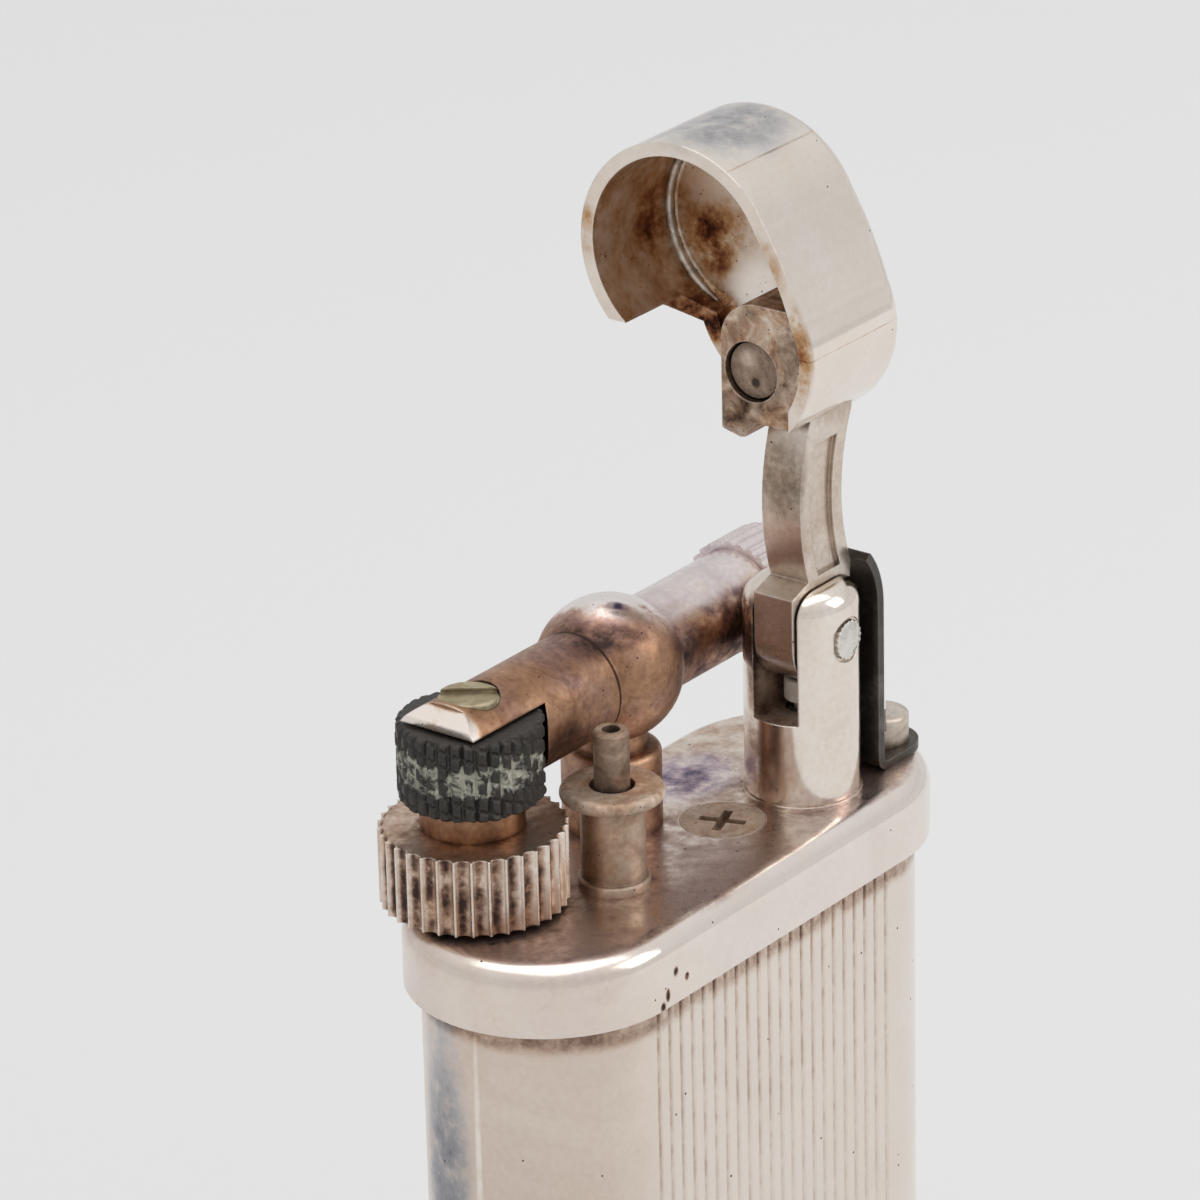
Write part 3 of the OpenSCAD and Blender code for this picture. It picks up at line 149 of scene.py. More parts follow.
def aged_metal(name, colours, stain, cool=None, cool_amount=0.0, cool_spots=(), blotch=5.0, blotch_amount=0.5,
               bands=(), rings=(), spots=(), soot_and_shade=0.0, soot_and_shade_reach=1.2, soot_and_shade_from=0.85, rough=(0.1, 0.42), pits=0.0,
               pit_size=0.4, scratch=0.15, worn=0.3, grain=0.06, inside=None, flutes=None, lines=False,
               metallic=1.0):
    """A metal under the film that years of flame and handling leave.

    colours runs from the clean metal to sooty black, cool is the same row where the film has turned violet or grey.
    stain is how far along the row the bare surface lies, and blotches of blotch mm move it. bands (axis, from,
    to, amount), rings (x, y, from, to, amount) round an upright axis and spots (x, y, z, rx, ry, rz, amount)
    add to it, all in mm, inside (x, y, z, amount) to surfaces that face its point, flutes (x, y, count, from
    radius, amount) to the hollows round an upright axis, as grime and painted shade. soot darkens corners within
    soot_and_shade_reach mm by ambient occlusion, a smoke film and painted shade at once, worn takes the film off the
    edges, grain speckles it, pits is the share of pit_size mm cells with a black speck, lines darkens the sleeve's
    cut lines with brown grime and painted shade. cool_amount and cool_spots say where the second row shows.
    rough goes from the clean metal to the sooty one, and scratch is how deep the film's fine relief is.
    """
    made = bpy.data.materials.new(name)
    made.use_nodes = True
    tree = made.node_tree
    shader = tree.nodes["Principled BSDF"]
    where = add(tree, "ShaderNodeTexCoord")
    place = where.outputs["Object"]
    xyz = add(tree, "ShaderNodeSeparateXYZ", {0: place})
    broad = add(tree, "ShaderNodeTexNoise", {"Vector": place, "Scale": 1 / (blotch * MM), "Detail": 6.0,
                                             "Roughness": 0.64, "Distortion": 0.7})
    total = add(tree, "ShaderNodeMapRange", {"Value": broad.outputs["Fac"], "From Min": 0.3, "From Max": 0.7,
                                             "To Min": stain - blotch_amount / 2,
                                             "To Max": stain + blotch_amount / 2}, clamp=False).outputs[0]
    # the ragged edge of a stain, a millimetre or so
    small = add(tree, "ShaderNodeTexNoise", {"Vector": place, "Scale": 1 / (1.3 * MM), "Detail": 5.0,
                                             "Roughness": 0.7})
    ragged = add(tree, "ShaderNodeMapRange", {"Value": small.outputs["Fac"], "From Min": 0.32, "From Max": 0.68,
                                              "To Min": 0.35, "To Max": 1.65}, clamp=False).outputs[0]

    def more(amount):
        """Adds an amount with a ragged edge to the film."""
        torn = add(tree, "ShaderNodeMath", {0: amount, 1: ragged}, operation="MULTIPLY").outputs[0]
        return add(tree, "ShaderNodeMath", {0: total, 1: torn}, operation="ADD").outputs[0]

    def patch(x, y, z, rx, ry, rz, amount):
        """Soft patch with a half width of rx, ry and rz mm."""
        off = add(tree, "ShaderNodeVectorMath", {0: place, 1: (x * MM, y * MM, z * MM)}, operation="SUBTRACT")
        off = add(tree, "ShaderNodeVectorMath", {0: off.outputs[0], 1: (rx * MM, ry * MM, rz * MM)},
                  operation="DIVIDE")
        away = add(tree, "ShaderNodeVectorMath", {0: off.outputs[0]}, operation="LENGTH")
        return add(tree, "ShaderNodeMapRange", {"Value": away.outputs["Value"], "From Min": 0.35, "From Max": 1.2,
                                                "To Min": amount, "To Max": 0.0},
                   interpolation_type="SMOOTHSTEP").outputs[0]

    for axis, start, end, amount in bands:
        grown = add(tree, "ShaderNodeMapRange", {"Value": xyz.outputs[axis], "From Min": start * MM,
                                                 "From Max": end * MM, "To Max": amount},
                    interpolation_type="SMOOTHSTEP").outputs[0]
        if abs(end - start) > WIDE_BAND:
            total = add(tree, "ShaderNodeMath", {0: total, 1: grown}, operation="ADD").outputs[0]
        else:
            total = more(grown)
    for x, y, start, end, amount in rings:
        flat = add(tree, "ShaderNodeVectorMath", {0: place, 1: (1, 1, 0)}, operation="MULTIPLY").outputs[0]
        away = add(tree, "ShaderNodeVectorMath", {0: flat, 1: (x * MM, y * MM, 0)}, operation="DISTANCE")
        total = more(add(tree, "ShaderNodeMapRange", {"Value": away.outputs["Value"], "From Min": start * MM,
                                                      "From Max": end * MM, "To Max": amount},
                         interpolation_type="SMOOTHSTEP").outputs[0])
    if inside:
        off = add(tree, "ShaderNodeVectorMath", {0: place, 1: [c * MM for c in inside[:3]]}, operation="SUBTRACT")
        out = add(tree, "ShaderNodeVectorMath", {0: off.outputs[0], 1: where.outputs["Normal"]},
                  operation="DOT_PRODUCT").outputs["Value"]
        turned_in = add(tree, "ShaderNodeMath", {0: out, 1: 0.0}, operation="LESS_THAN").outputs[0]
        total = more(add(tree, "ShaderNodeMath", {0: turned_in, 1: inside[3]}, operation="MULTIPLY").outputs[0])
        burnt = add(tree, "ShaderNodeMath", {0: turned_in, 1: 0.25}, operation="MULTIPLY").outputs[0]
    if flutes:
        x, y, count, start, amount = flutes
        off = add(tree, "ShaderNodeVectorMath", {0: place, 1: (x * MM, y * MM, 0)}, operation="SUBTRACT").outputs[0]
        off = add(tree, "ShaderNodeSeparateXYZ", {0: off})
        turn = add(tree, "ShaderNodeMath", {0: off.outputs["Y"], 1: off.outputs["X"]}, operation="ARCTAN2").outputs[0]
        turn = add(tree, "ShaderNodeMath", {0: turn, 1: count / (2 * math.pi), 2: 0.14},
                   operation="MULTIPLY_ADD").outputs[0]
        ridge = add(tree, "ShaderNodeMath", {0: turn, 1: 0.5}, operation="PINGPONG").outputs[0]
        # painted shade with grime in the flutes: dark at the bottom of each hollow, clear on the crests
        hollow_dirt_and_shade = add(tree, "ShaderNodeMapRange", {"Value": ridge, "From Min": 0.05, "From Max": 0.4,
                                                  "To Min": amount, "To Max": 0.0},
                     interpolation_type="SMOOTHSTEP").outputs[0]
        far = add(tree, "ShaderNodeVectorMath", {0: place, 1: (1, 1, 0)}, operation="MULTIPLY").outputs[0]
        far = add(tree, "ShaderNodeVectorMath", {0: far, 1: (x * MM, y * MM, 0)}, operation="DISTANCE")
        rim = add(tree, "ShaderNodeMath", {0: far.outputs["Value"], 1: start * MM},
                  operation="GREATER_THAN").outputs[0]
        hollow_dirt_and_shade = add(tree, "ShaderNodeMath", {0: hollow_dirt_and_shade, 1: rim}, operation="MULTIPLY").outputs[0]
        total = more(hollow_dirt_and_shade)
    for spot in spots:
        total = more(patch(*spot))
    if soot_and_shade:
        # painted shade: ambient occlusion darkens corners, slots and hollows, drawing soot and the shade that falls
        # there as one
        corner = add(tree, "ShaderNodeAmbientOcclusion", {"Distance": soot_and_shade_reach * MM}, samples=3)
        total = more(add(tree, "ShaderNodeMapRange", {"Value": corner.outputs["AO"], "From Min": 0.3,
                                                      "From Max": soot_and_shade_from, "To Min": soot_and_shade,
                                                      "To Max": 0.0}).outputs[0])
    if lines:
        # brown grime and painted shade in the cut lines, fading off across the reeds between them
        side = add(tree, "ShaderNodeMath", {0: xyz.outputs["Y"]}, operation="SIGN").outputs[0]
        along = add(tree, "ShaderNodeMath", {0: xyz.outputs["X"], 1: side}, operation="MULTIPLY").outputs[0]
        along = add(tree, "ShaderNodeMath", {0: LINE_SHIFT * MM, 1: along}, operation="SUBTRACT").outputs[0]
        along = add(tree, "ShaderNodeMath", {0: along, 1: LINE_PITCH * MM}, operation="DIVIDE").outputs[0]
        count = add(tree, "ShaderNodeMath", {0: along, 1: (LINE_COUNT - 1) / 2}, operation="ADD").outputs[0]
        away = add(tree, "ShaderNodeMath", {0: count, 1: 0.5}, operation="PINGPONG").outputs[0]
        in_field = add(tree, "ShaderNodeMath", {0: count, 1: (LINE_COUNT - 1) / 2, 2: LINE_COUNT / 2},
                       operation="COMPARE").outputs[0]
        deep = add(tree, "ShaderNodeMapRange", {"Value": away, "From Min": 0.04, "From Max": 0.22, "To Min": 1.0,
                                                "To Max": 0.0}, interpolation_type="SMOOTHSTEP").outputs[0]
        deep = add(tree, "ShaderNodeMath", {0: deep, 1: in_field}, operation="MULTIPLY").outputs[0]
        long_place = add(tree, "ShaderNodeVectorMath", {0: place, 1: (1, 1, 0.35)}, operation="MULTIPLY").outputs[0]
        runs = add(tree, "ShaderNodeTexNoise", {"Vector": long_place, "Scale": 1 / (0.5 * MM), "Detail": 4.0,
                                                "Roughness": 0.75})
        speckled = add(tree, "ShaderNodeMapRange", {"Value": runs.outputs["Fac"], "From Min": 0.4,
                                                    "From Max": 0.74, "To Min": 0.14, "To Max": 0.48}).outputs[0]
        dirt_and_shade = add(tree, "ShaderNodeMath", {0: deep, 1: speckled}, operation="MULTIPLY").outputs[0]
        upper = add(tree, "ShaderNodeMapRange", {"Value": xyz.outputs["Z"], "From Min": 30 * MM,
                                                 "From Max": 48 * MM, "To Min": 0.55, "To Max": 1.15}).outputs[0]
        dirt_and_shade = add(tree, "ShaderNodeMath", {0: dirt_and_shade, 1: upper}, operation="MULTIPLY").outputs[0]
        total = add(tree, "ShaderNodeMath", {0: total, 1: dirt_and_shade}, operation="ADD").outputs[0]
    if worn:
        soft = add(tree, "ShaderNodeBevel", {"Radius": 0.12 * MM}, samples=2).outputs[0]
        sharp = add(tree, "ShaderNodeNewGeometry").outputs["Normal"]
        alike = add(tree, "ShaderNodeVectorMath", {0: soft, 1: sharp}, operation="DOT_PRODUCT").outputs["Value"]
        edge = add(tree, "ShaderNodeMapRange", {"Value": alike, "From Min": 0.8, "From Max": 0.99,
                                                "To Min": -worn, "To Max": 0.0}).outputs[0]
        total = more(edge)
    if pits:
        cells = add(tree, "ShaderNodeTexVoronoi", {"Vector": place, "Scale": 1 / (pit_size * MM)})
        dot = add(tree, "ShaderNodeMath", {0: small.outputs["Fac"], 1: 0.3}, operation="MULTIPLY").outputs[0]
        dot = add(tree, "ShaderNodeMath", {0: cells.outputs["Distance"], 1: dot}, operation="LESS_THAN").outputs[0]
        chosen = add(tree, "ShaderNodeSeparateColor", {0: cells.outputs["Color"]}).outputs[0]
        share = pits
        if inside:
            share = add(tree, "ShaderNodeMath", {0: turned_in, 1: pits * 0.92, 2: pits * 0.08},
                        operation="MULTIPLY_ADD").outputs[0]
        chosen = add(tree, "ShaderNodeMath", {0: chosen, 1: share}, operation="LESS_THAN").outputs[0]
        pit = add(tree, "ShaderNodeMath", {0: dot, 1: chosen}, operation="MULTIPLY").outputs[0]
        total = add(tree, "ShaderNodeMath", {0: total, 1: pit}, operation="ADD").outputs[0]
    # grains of tarnish, really below 0.1 mm, drawn as coarse as 0.3 mm to show
    fine = add(tree, "ShaderNodeTexNoise", {"Vector": place, "Scale": 1 / (0.3 * MM), "Detail": 3.0})
    specks = add(tree, "ShaderNodeMapRange", {"Value": fine.outputs["Fac"], "From Min": 0.3, "From Max": 0.7,
                                              "To Min": -grain, "To Max": grain}).outputs[0]
    total = add(tree, "ShaderNodeMath", {0: total, 1: specks}, operation="ADD", use_clamp=True).outputs[0]

    shades = []
    for row in (colours, cool or colours):
        ramp = add(tree, "ShaderNodeValToRGB", {0: total})
        stops = ramp.color_ramp.elements
        while len(stops) < len(row):
            stops.new(0.5)
        for i, code in enumerate(row):
            stops[i].position = i / (len(row) - 1)
            stops[i].color = linear(code)
        shades.append(ramp.outputs[0])
    colour = shades[0]
    if cool:
        tint = add(tree, "ShaderNodeTexNoise", {"Vector": place, "Scale": 1 / (1.6 * blotch * MM), "Detail": 5.0,
                                                "Roughness": 0.6, "W": 3.0}, noise_dimensions="4D")
        share = add(tree, "ShaderNodeMapRange", {"Value": tint.outputs["Fac"], "From Min": 0.42, "From Max": 0.62,
                                                 "To Min": 0.0, "To Max": cool_amount}).outputs[0]
        for spot in cool_spots:
            torn = add(tree, "ShaderNodeMath", {0: patch(*spot), 1: ragged}, operation="MULTIPLY").outputs[0]
            share = add(tree, "ShaderNodeMath", {0: share, 1: torn}, operation="ADD", use_clamp=True).outputs[0]
        colour = add(tree, "ShaderNodeMix", {0: share, 6: shades[0], 7: shades[1]}, data_type="RGBA").outputs[2]
    tree.links.new(colour, shader.inputs["Base Color"])
    dull = add(tree, "ShaderNodeMapRange", {"Value": total, "To Min": rough[0], "To Max": rough[1]}).outputs[0]
    if inside:
        dull = add(tree, "ShaderNodeMath", {0: dull, 1: burnt}, operation="ADD").outputs[0]
    tree.links.new(dull, shader.inputs["Roughness"])
    shader.inputs["Metallic"].default_value = metallic
    # relief of the film, really some 0.02 mm across, drawn at 0.12 mm to show
    strokes = add(tree, "ShaderNodeTexNoise", {"Vector": place, "Scale": 1 / (0.12 * MM), "Detail": 2.0})
    crust = add(tree, "ShaderNodeMath", {0: strokes.outputs["Fac"], 1: total}, operation="MULTIPLY").outputs[0]
    bump = add(tree, "ShaderNodeBump", {"Height": crust, "Strength": scratch, "Distance": 0.03 * MM})
    if worn:
        tree.links.new(soft, bump.inputs["Normal"])
    tree.links.new(bump.outputs[0], shader.inputs["Normal"])
    return made


# Silver plate from worn bright through yellowed and brown to old sulphide, and the same film gone violet or grey
SILVER = ("#f4ece4", "#e6d9cd", "#c2a997", "#8a6f60", "#4a3d3a")
SILVER_COOL = ("#f0edea", "#cdc9c8", "#9c9b9e", "#6d6e74", "#3c3d43")
COPPERY = ("#f0e6dd", "#dfc6b0", "#bf9778", "#8d6850", "#483731")
VIOLET = ("#f2eae8", "#dccfd0", "#ae9ba6", "#6f667c", "#423d46")
DRAB = ("#e8ddd2", "#ccb9a8", "#a8927f", "#7a6555", "#42362e")
HOOD = ("#f4ece4", "#e4d5c6", "#c59b6e", "#925a36", "#40241a")
BRASS = ("#ddc297", "#bf9d72", "#947656", "#655040", "#362d27")
NICKEL = ("#efebe5", "#d4cec6", "#a39c92", "#6d675f", "#37332f")
STEEL = ("#c9c6c2", "#98938d", "#6d6862", "#45413d", "#262422")
BLUED = ("#8a847d", "#5b5651", "#423e3b", "#2e2b29", "#1a1817")

# Silver plate, drawn and polished, a little yellowed: a soft mirror, brown grime and painted shade standing in the
# cut lines
silver_body = aged_metal("silver_plate_sleeve", SILVER, 0.14, cool=SILVER_COOL, cool_amount=0.15,
                         # cool_spots and the first two spots: grey tarnish at the left end, with a painted darker
                         # reflection of the floor in it
                         cool_spots=[(-15.5, 2.4, 39, 1.6, 2.3, 11, 1.2), (-14.6, 4.2, 28, 2.2, 1.8, 11, 0.9)],
                         blotch=9, blotch_amount=0.1,
                         bands=[("Z", 46.8, 47.7, 0.34), ("X", -7, -14, 0.19)],
                         spots=[(-15.5, 2.4, 38, 1.6, 2.1, 8.0, 0.2), (-14.6, 4.2, 28, 2.0, 1.7, 11, 0.1),
                                # the last spot is a painted highlight: a pale golden line down the corner of the left
                                # end
                                (-16.1, -0.1, 40, 0.6, 0.2, 9, -0.22)],
                         pits=0.02, scratch=0.08, grain=0.02, lines=True)
# The same plate over a rounded edge: bright along the edge, browned and turned violet on top
silver_cap = aged_metal("silver_plate_cap", SILVER, 0.08, cool=VIOLET, cool_amount=0.4,
                        cool_spots=[(5.4, 3.2, 52, 3.6, 2.6, 1, 1.3)], blotch=5, blotch_amount=0.14,
                        bands=[("Z", 51.9, 51.99, 0.3), ("X", -7, -14, 0.16)], rough=(0.06, 0.7), scratch=0.08,
                        grain=0.025,
                        spots=[(5.2, 3.0, 52, 2.0, 1.5, 0.4, 0.2), (-4.4, -6.3, 52, 2.6, 0.5, 0.3, 0.22),
                               (-9.6, -6.0, 52, 3.0, 0.4, 0.3, 0.16),
                               (-9.16, -7.0, 50.1, 0.22, 0.3, 0.3, 0.9), (-8.3, -7.0, 49.5, 0.2, 0.3, 0.26, 0.9),
                               (-9.83, -7.0, 49.1, 0.2, 0.3, 0.4, 0.9), (-10.2, -7.0, 48.6, 0.22, 0.3, 0.3, 0.9)],
                        soot_and_shade=0.35, soot_and_shade_reach=1.0, pits=0.03)
# Plate that the flame licks: pale and even outside, straw to burnt brown inside, blue-grey over the crown
silver_hood = aged_metal("silver_plate_hood", HOOD, 0.08, cool=SILVER_COOL, cool_amount=0.1,
                         cool_spots=[(9.0, 2.6, 85.7, 4.2, 4.5, 1.6, 1.3)], blotch=6, blotch_amount=0.14,
                         inside=(9, *HOOD_MIDDLE, 0.3), bands=[("X", 5.06, 5.02, 0.08)],
                         spots=[(9.0, 2.6, 85.9, 4.0, 4.2, 1.4, 0.26), (11.3, 5.2, 78.5, 0.8, 1.7, 1.9, 0.32),
                                (9.4, 7.7, 79.4, 1.3, 1.0, 1.8, 0.32), (11.3, 2.2, 76.6, 0.9, 2.4, 2.2, -0.34),
                                (11.3, 5.4, 82.2, 1.0, 3.0, 2.0, -0.28),
                                (5.0, 8.3, 80.5, 0.4, 0.8, 2.0, 0.2), (5.0, -2.6, 80.0, 0.4, 1.2, 2.2, 0.2),
                                (5.0, -4.6, 76.6, 0.4, 1.2, 3.0, 0.35), (10.5, 6.0, 74.6, 2.6, 3.0, 1.6, 0.45),
                                (9, -0.4, 84.87, 7, 1.0, 0.045, 0.24), (9, -4.9, 76.17, 7, 1.0, 0.045, 0.24)],
                         # the occlusion reach of 4 mm darkens the whole hollow of the hood with painted shade as well
                         # as soot
                         soot_and_shade=0.14, soot_and_shade_reach=4.0, soot_and_shade_from=0.8, pits=0.25, pit_size=0.32,
                         scratch=0.08, grain=0.025)
# Plate dulled by handling: satin grey-brown, paler along its edges, with the hood's shadow painted across its upper
# front
silver_arm = aged_metal("silver_plate_arm", DRAB, 0.16, cool=NICKEL, cool_amount=0.5, blotch=4,
                        blotch_amount=0.2, soot_and_shade=0.4, soot_and_shade_reach=0.6, pits=0.03, rough=(0.22, 0.55),
                        # spots: the hood's shadow painted on the arm's front face, strong just below the hood and
                        # fading lower down
                        spots=[(5.6, -2.6, 71, 1.0, 4, 4, 0.42), (5.6, -2.6, 66, 1.0, 4, 4, 0.12)])
# Polished plate: mirrors the floor, browned in the slot and at the foot
silver_pillar = aged_metal("silver_plate_pillar", SILVER, 0.1, cool=DRAB, cool_amount=0.2, blotch=4,
                           blotch_amount=0.2, soot_and_shade=0.25, soot_and_shade_reach=0.7, pits=0.03,
                           inside=(*PILLAR, 57, 0.3),
                           spots=[(4.9, -1.2, 54.5, 1.6, 3.2, 3.2, 0.35), (4.7, -1.2, 61.0, 1.1, 1.1, 5.0, 0.8)])
# Plate that the thumb rubs: pale crests, black-brown grime and painted shade in the hollows between them
silver_thumb = aged_metal("silver_plate_thumb_wheel", SILVER, 0.2, cool=COPPERY, cool_amount=0.5, blotch=2,
                          blotch_amount=0.3, rings=[(*WHEEL, 4.5, 4.36, 0.3)],
                          flutes=(*WHEEL, FLUTE_COUNT, FLUTE_FLOOR, 0.34),
                          cool_spots=[(*WHEEL, 56.4, 4.2, 4.2, 0.5, 1.0)], rough=(0.16, 0.6), soot_and_shade=0.5,
                          soot_and_shade_reach=0.5, worn=0.4)
# Plate heated beside the flame: glossy copper brown, a thin seam line, a bare bright tongue
silver_tube = aged_metal("silver_plate_by_the_flame", COPPERY, 0.65, cool=VIOLET, cool_amount=0.35, blotch=3.0,
                         blotch_amount=0.3, soot_and_shade=0.4, soot_and_shade_reach=0.7, rough=(0.24, 0.55), worn=0.12,
                         bands=[("X", -3.4, -3.34, 0.5), ("X", -3.26, -3.2, -0.5)],
                         spots=[(0.8, 3.8, 63.7, 3.5, 3.5, 3.3, -1.2), (-2.8, 2.0, 63.0, 2.6, 3.0, 0.8, 0.3),
                                (-14.0, 3.15, 62.4, 0.9, 3.4, 1.0, -1.0), (-0.6, 0.2, 57.6, 3, 2, 2, -0.16),
                                (-8.5, 0.8, 59.0, 5, 1.6, 1.6, 0.2),
                                (-1.03, 2.5, 63.88, 0.52, 0.52, 0.4, 0.7),
                                (-0.75, 2.05, 63.85, 0.52, 0.52, 0.4, 0.7)],
                         cool_spots=[(0.6, 4.0, 63.7, 3.4, 3.4, 3.4, 0.8)], scratch=0.4, pits=0.12, pit_size=0.3)
# Plate further from the flame: pale lilac above, soot brown below
violet_tube = aged_metal("silver_plate_turned_violet", COPPERY, 0.14, cool=VIOLET, cool_amount=0.7, blotch=3.0,
                         blotch_amount=0.25, soot_and_shade=0.4, rough=(0.18, 0.5), bands=[("Z", 62.35, 61.6, 0.5)],
                         cool_spots=[(4, 3.15, 62.8, 7, 3, 1.4, 0.9)], scratch=0.25)
# Turned end cap: even lilac sheen over its flutes
violet_cap = aged_metal("silver_plate_of_the_end_cap", VIOLET, 0.2, blotch=3.0, blotch_amount=0.3, soot_and_shade=0.15,
                        soot_and_shade_reach=0.4, rough=(0.2, 0.5))
# Burner tube, turned and burnt: dull drab brown with a copper cast, a paler bead at its foot
burnt_brass = aged_metal("burnt_plate_of_the_burner", DRAB, 0.44, cool=COPPERY, cool_amount=0.8, blotch=2.0,
                         blotch_amount=0.3, soot_and_shade=0.35, rough=(0.35, 0.62), scratch=0.5, worn=0.2, pits=0.06,
                         pit_size=0.3, bands=[("Z", 52.55, 52.35, -0.25)])
# Plated screw under a crust: grainy drab, black in the cross
crusted_screw = aged_metal("crusted_plate_screw", DRAB, 0.4, cool=COPPERY, cool_amount=0.6, blotch=1.0, metallic=0.7,
                           blotch_amount=0.3, soot_and_shade=0.3, soot_and_shade_reach=0.5, rough=(0.45, 0.7), scratch=1.0, pits=0.3,
                           pit_size=0.3)
# Scorched nozzle: dry grey-brown with hardly a shine
nozzle_brass = aged_metal("burnt_nozzle", DRAB, 0.62, cool=COPPERY, cool_amount=0.6, blotch=1.2, metallic=0.6,
                          blotch_amount=0.35, soot_and_shade=0.35, rough=(0.5, 0.75), scratch=1.0, worn=0.25)
# Burner flange under burnt-on crust: rough grains of drab and copper, with a painted highlight on its front edge
burner_crust = aged_metal("burner_flange_crust", DRAB, 0.42, cool=COPPERY, cool_amount=1.0, blotch=1.2, metallic=0.6,
                          blotch_amount=0.4, soot_and_shade=0.2, rough=(0.45, 0.75), scratch=1.0, pits=0.4, pit_size=0.26,
                          # the spot is a painted highlight: a pale patch on the flange's front edge
                          spots=[(-4.9, -3.4, 56.7, 1.2, 0.8, 0.5, -0.6)])
# Snuffer block under the same crust: streaked brown, worn to metal on its corners
block_crust = aged_metal("snuffer_block_crust", DRAB, 0.44, cool=COPPERY, cool_amount=0.9, blotch=1.3,
                         blotch_amount=0.7, soot_and_shade=0.5, rough=(0.4, 0.7), scratch=1.0, worn=0.5, pits=0.3,
                         pit_size=0.3, spots=[(5, -0.6, 72.6, 1, 2.5, 1.2, 0.16)])
# Moulded pad under soot and lime: matt grey-brown, no shine
pad_face = aged_metal("worn_pad", DRAB, 0.62, blotch=0.9, blotch_amount=0.3,
                      soot_and_shade=0.4, soot_and_shade_reach=0.8, rough=(0.75, 0.95), scratch=1.0, metallic=0.1, pits=0.3,
                      pit_size=0.22,
                      spots=[(5.5, -1.1, 75.4, 0.8, 0.7, 0.6, -0.3), (5.5, -1.5, 74.2, 0.5, 0.3, 0.28, 0.5)])
# Nickel-plated pin head: clean grey-white, dark between its serrations
nickel_screw = aged_metal("nickel_screw_heads", NICKEL, 0.16, blotch=2, blotch_amount=0.2, soot_and_shade=0.5,
                          soot_and_shade_reach=0.4)
# Nickel-plated screw dulled by the hand: soft grey-brown sheen
leaf_screw = aged_metal("dulled_leaf_screw", DRAB, 0.3, cool=NICKEL, cool_amount=0.8, blotch=2, blotch_amount=0.3,
                        soot_and_shade=0.5, soot_and_shade_reach=0.4, rough=(0.35, 0.6), scratch=0.5)
# Nickel-plated follower rubbed by the heel: pale satin
follower_face = aged_metal("rubbed_follower", NICKEL, 0.3, blotch=1.5, blotch_amount=0.2, rough=(0.5, 0.7),
                           metallic=0.4)
# Solder smoked inside the hood: uneven grey, bright on its crest
solder = aged_metal("smoked_solder", NICKEL, 0.34, cool=DRAB, cool_amount=0.8, blotch=1.2, blotch_amount=0.5,
                    soot_and_shade=0.6, soot_and_shade_reach=0.4, rough=(0.3, 0.6), scratch=0.6)
# Turned brass gone brown, for the fittings inside: an even warm shine
plain_brass = aged_metal("brown_brass", BRASS, 0.34, blotch=3, blotch_amount=0.35, soot_and_shade=0.4, rough=(0.3, 0.55))
# Brass screw smoked green-brown: dull, dark in its slot
axle_brass = aged_metal("smoked_axle_screw", ("#d3c9b2", "#b3a78a", "#8b7d62", "#5f5442", "#332d25"), 0.28,
                        blotch=1.5, blotch_amount=0.3, soot_and_shade=0.5, soot_and_shade_reach=0.4, rough=(0.45, 0.65), scratch=0.8)
# Turned brass collar: smooth copper brown with a soft shine
collar_brass = aged_metal("copper_brown_collar", COPPERY, 0.58, cool=BRASS, cool_amount=0.7, blotch=3,
                          blotch_amount=0.25, soot_and_shade=0.3, rough=(0.22, 0.45))
# Blued spring steel: near-black satin, worn grey at its edges
blued_spring = aged_metal("blued_spring_steel", BLUED, 0.3, blotch=4, blotch_amount=0.3, rough=(0.28, 0.45),
                          pits=0.1, pit_size=0.5, worn=0.7)
# Drawn steel, for springs and pins: clean grey shine
plain_steel = aged_metal("bright_steel", STEEL, 0.15, blotch=3, blotch_amount=0.3, rough=(0.2, 0.4))
# Moulded nitrile rubber: black and matt
rubber = aged_metal("black_rubber_seal", ("#3a3838", "#2e2c2c", "#232121"), 0.4, blotch=2, worn=0,
                    rough=(0.6, 0.8), metallic=0.0)

# Spark wheel: steel gone black, with grey-green flint dust caked in its cuts
flint_dust = bpy.data.materials.new("black_steel_with_flint_dust")
flint_dust.use_nodes = True
tree = flint_dust.node_tree
shader = tree.nodes["Principled BSDF"]
place = add(tree, "ShaderNodeTexCoord").outputs["Object"]
patchy = add(tree, "ShaderNodeTexNoise", {"Vector": place, "Scale": 1 / (1.5 * MM), "Detail": 5.0,
                                          "Roughness": 0.75, "Distortion": 0.5})
level = add(tree, "ShaderNodeSeparateXYZ", {0: place}).outputs["Z"]
height = add(tree, "ShaderNodeMath", {0: level, 1: (SPARK_LOW + SPARK_HIGH) / 2 * MM},
             operation="SUBTRACT").outputs[0]
height = add(tree, "ShaderNodeMath", {0: height}, operation="ABSOLUTE").outputs[0]
belt = add(tree, "ShaderNodeMapRange", {"Value": height, "From Min": 0.6 * MM, "From Max": 1.9 * MM, "To Min": 0.13,
                                        "To Max": -0.3}).outputs[0]
flat = add(tree, "ShaderNodeVectorMath", {0: place, 1: (1, 1, 0)}, operation="MULTIPLY").outputs[0]
away = add(tree, "ShaderNodeVectorMath", {0: flat, 1: (WHEEL[0] * MM, WHEEL[1] * MM, 0)}, operation="DISTANCE")
cut = add(tree, "ShaderNodeMapRange", {"Value": away.outputs["Value"], "From Min": (SPARK_R - 0.2) * MM,
                                       "From Max": (SPARK_R - 0.04) * MM, "To Min": 0.06, "To Max": -0.08}).outputs[0]
dust = add(tree, "ShaderNodeMath", {0: patchy.outputs["Fac"], 1: belt}, operation="ADD").outputs[0]
dust = add(tree, "ShaderNodeMath", {0: dust, 1: cut}, operation="ADD").outputs[0]
dust = add(tree, "ShaderNodeMapRange", {"Value": dust, "From Min": 0.6, "From Max": 0.7}).outputs[0]
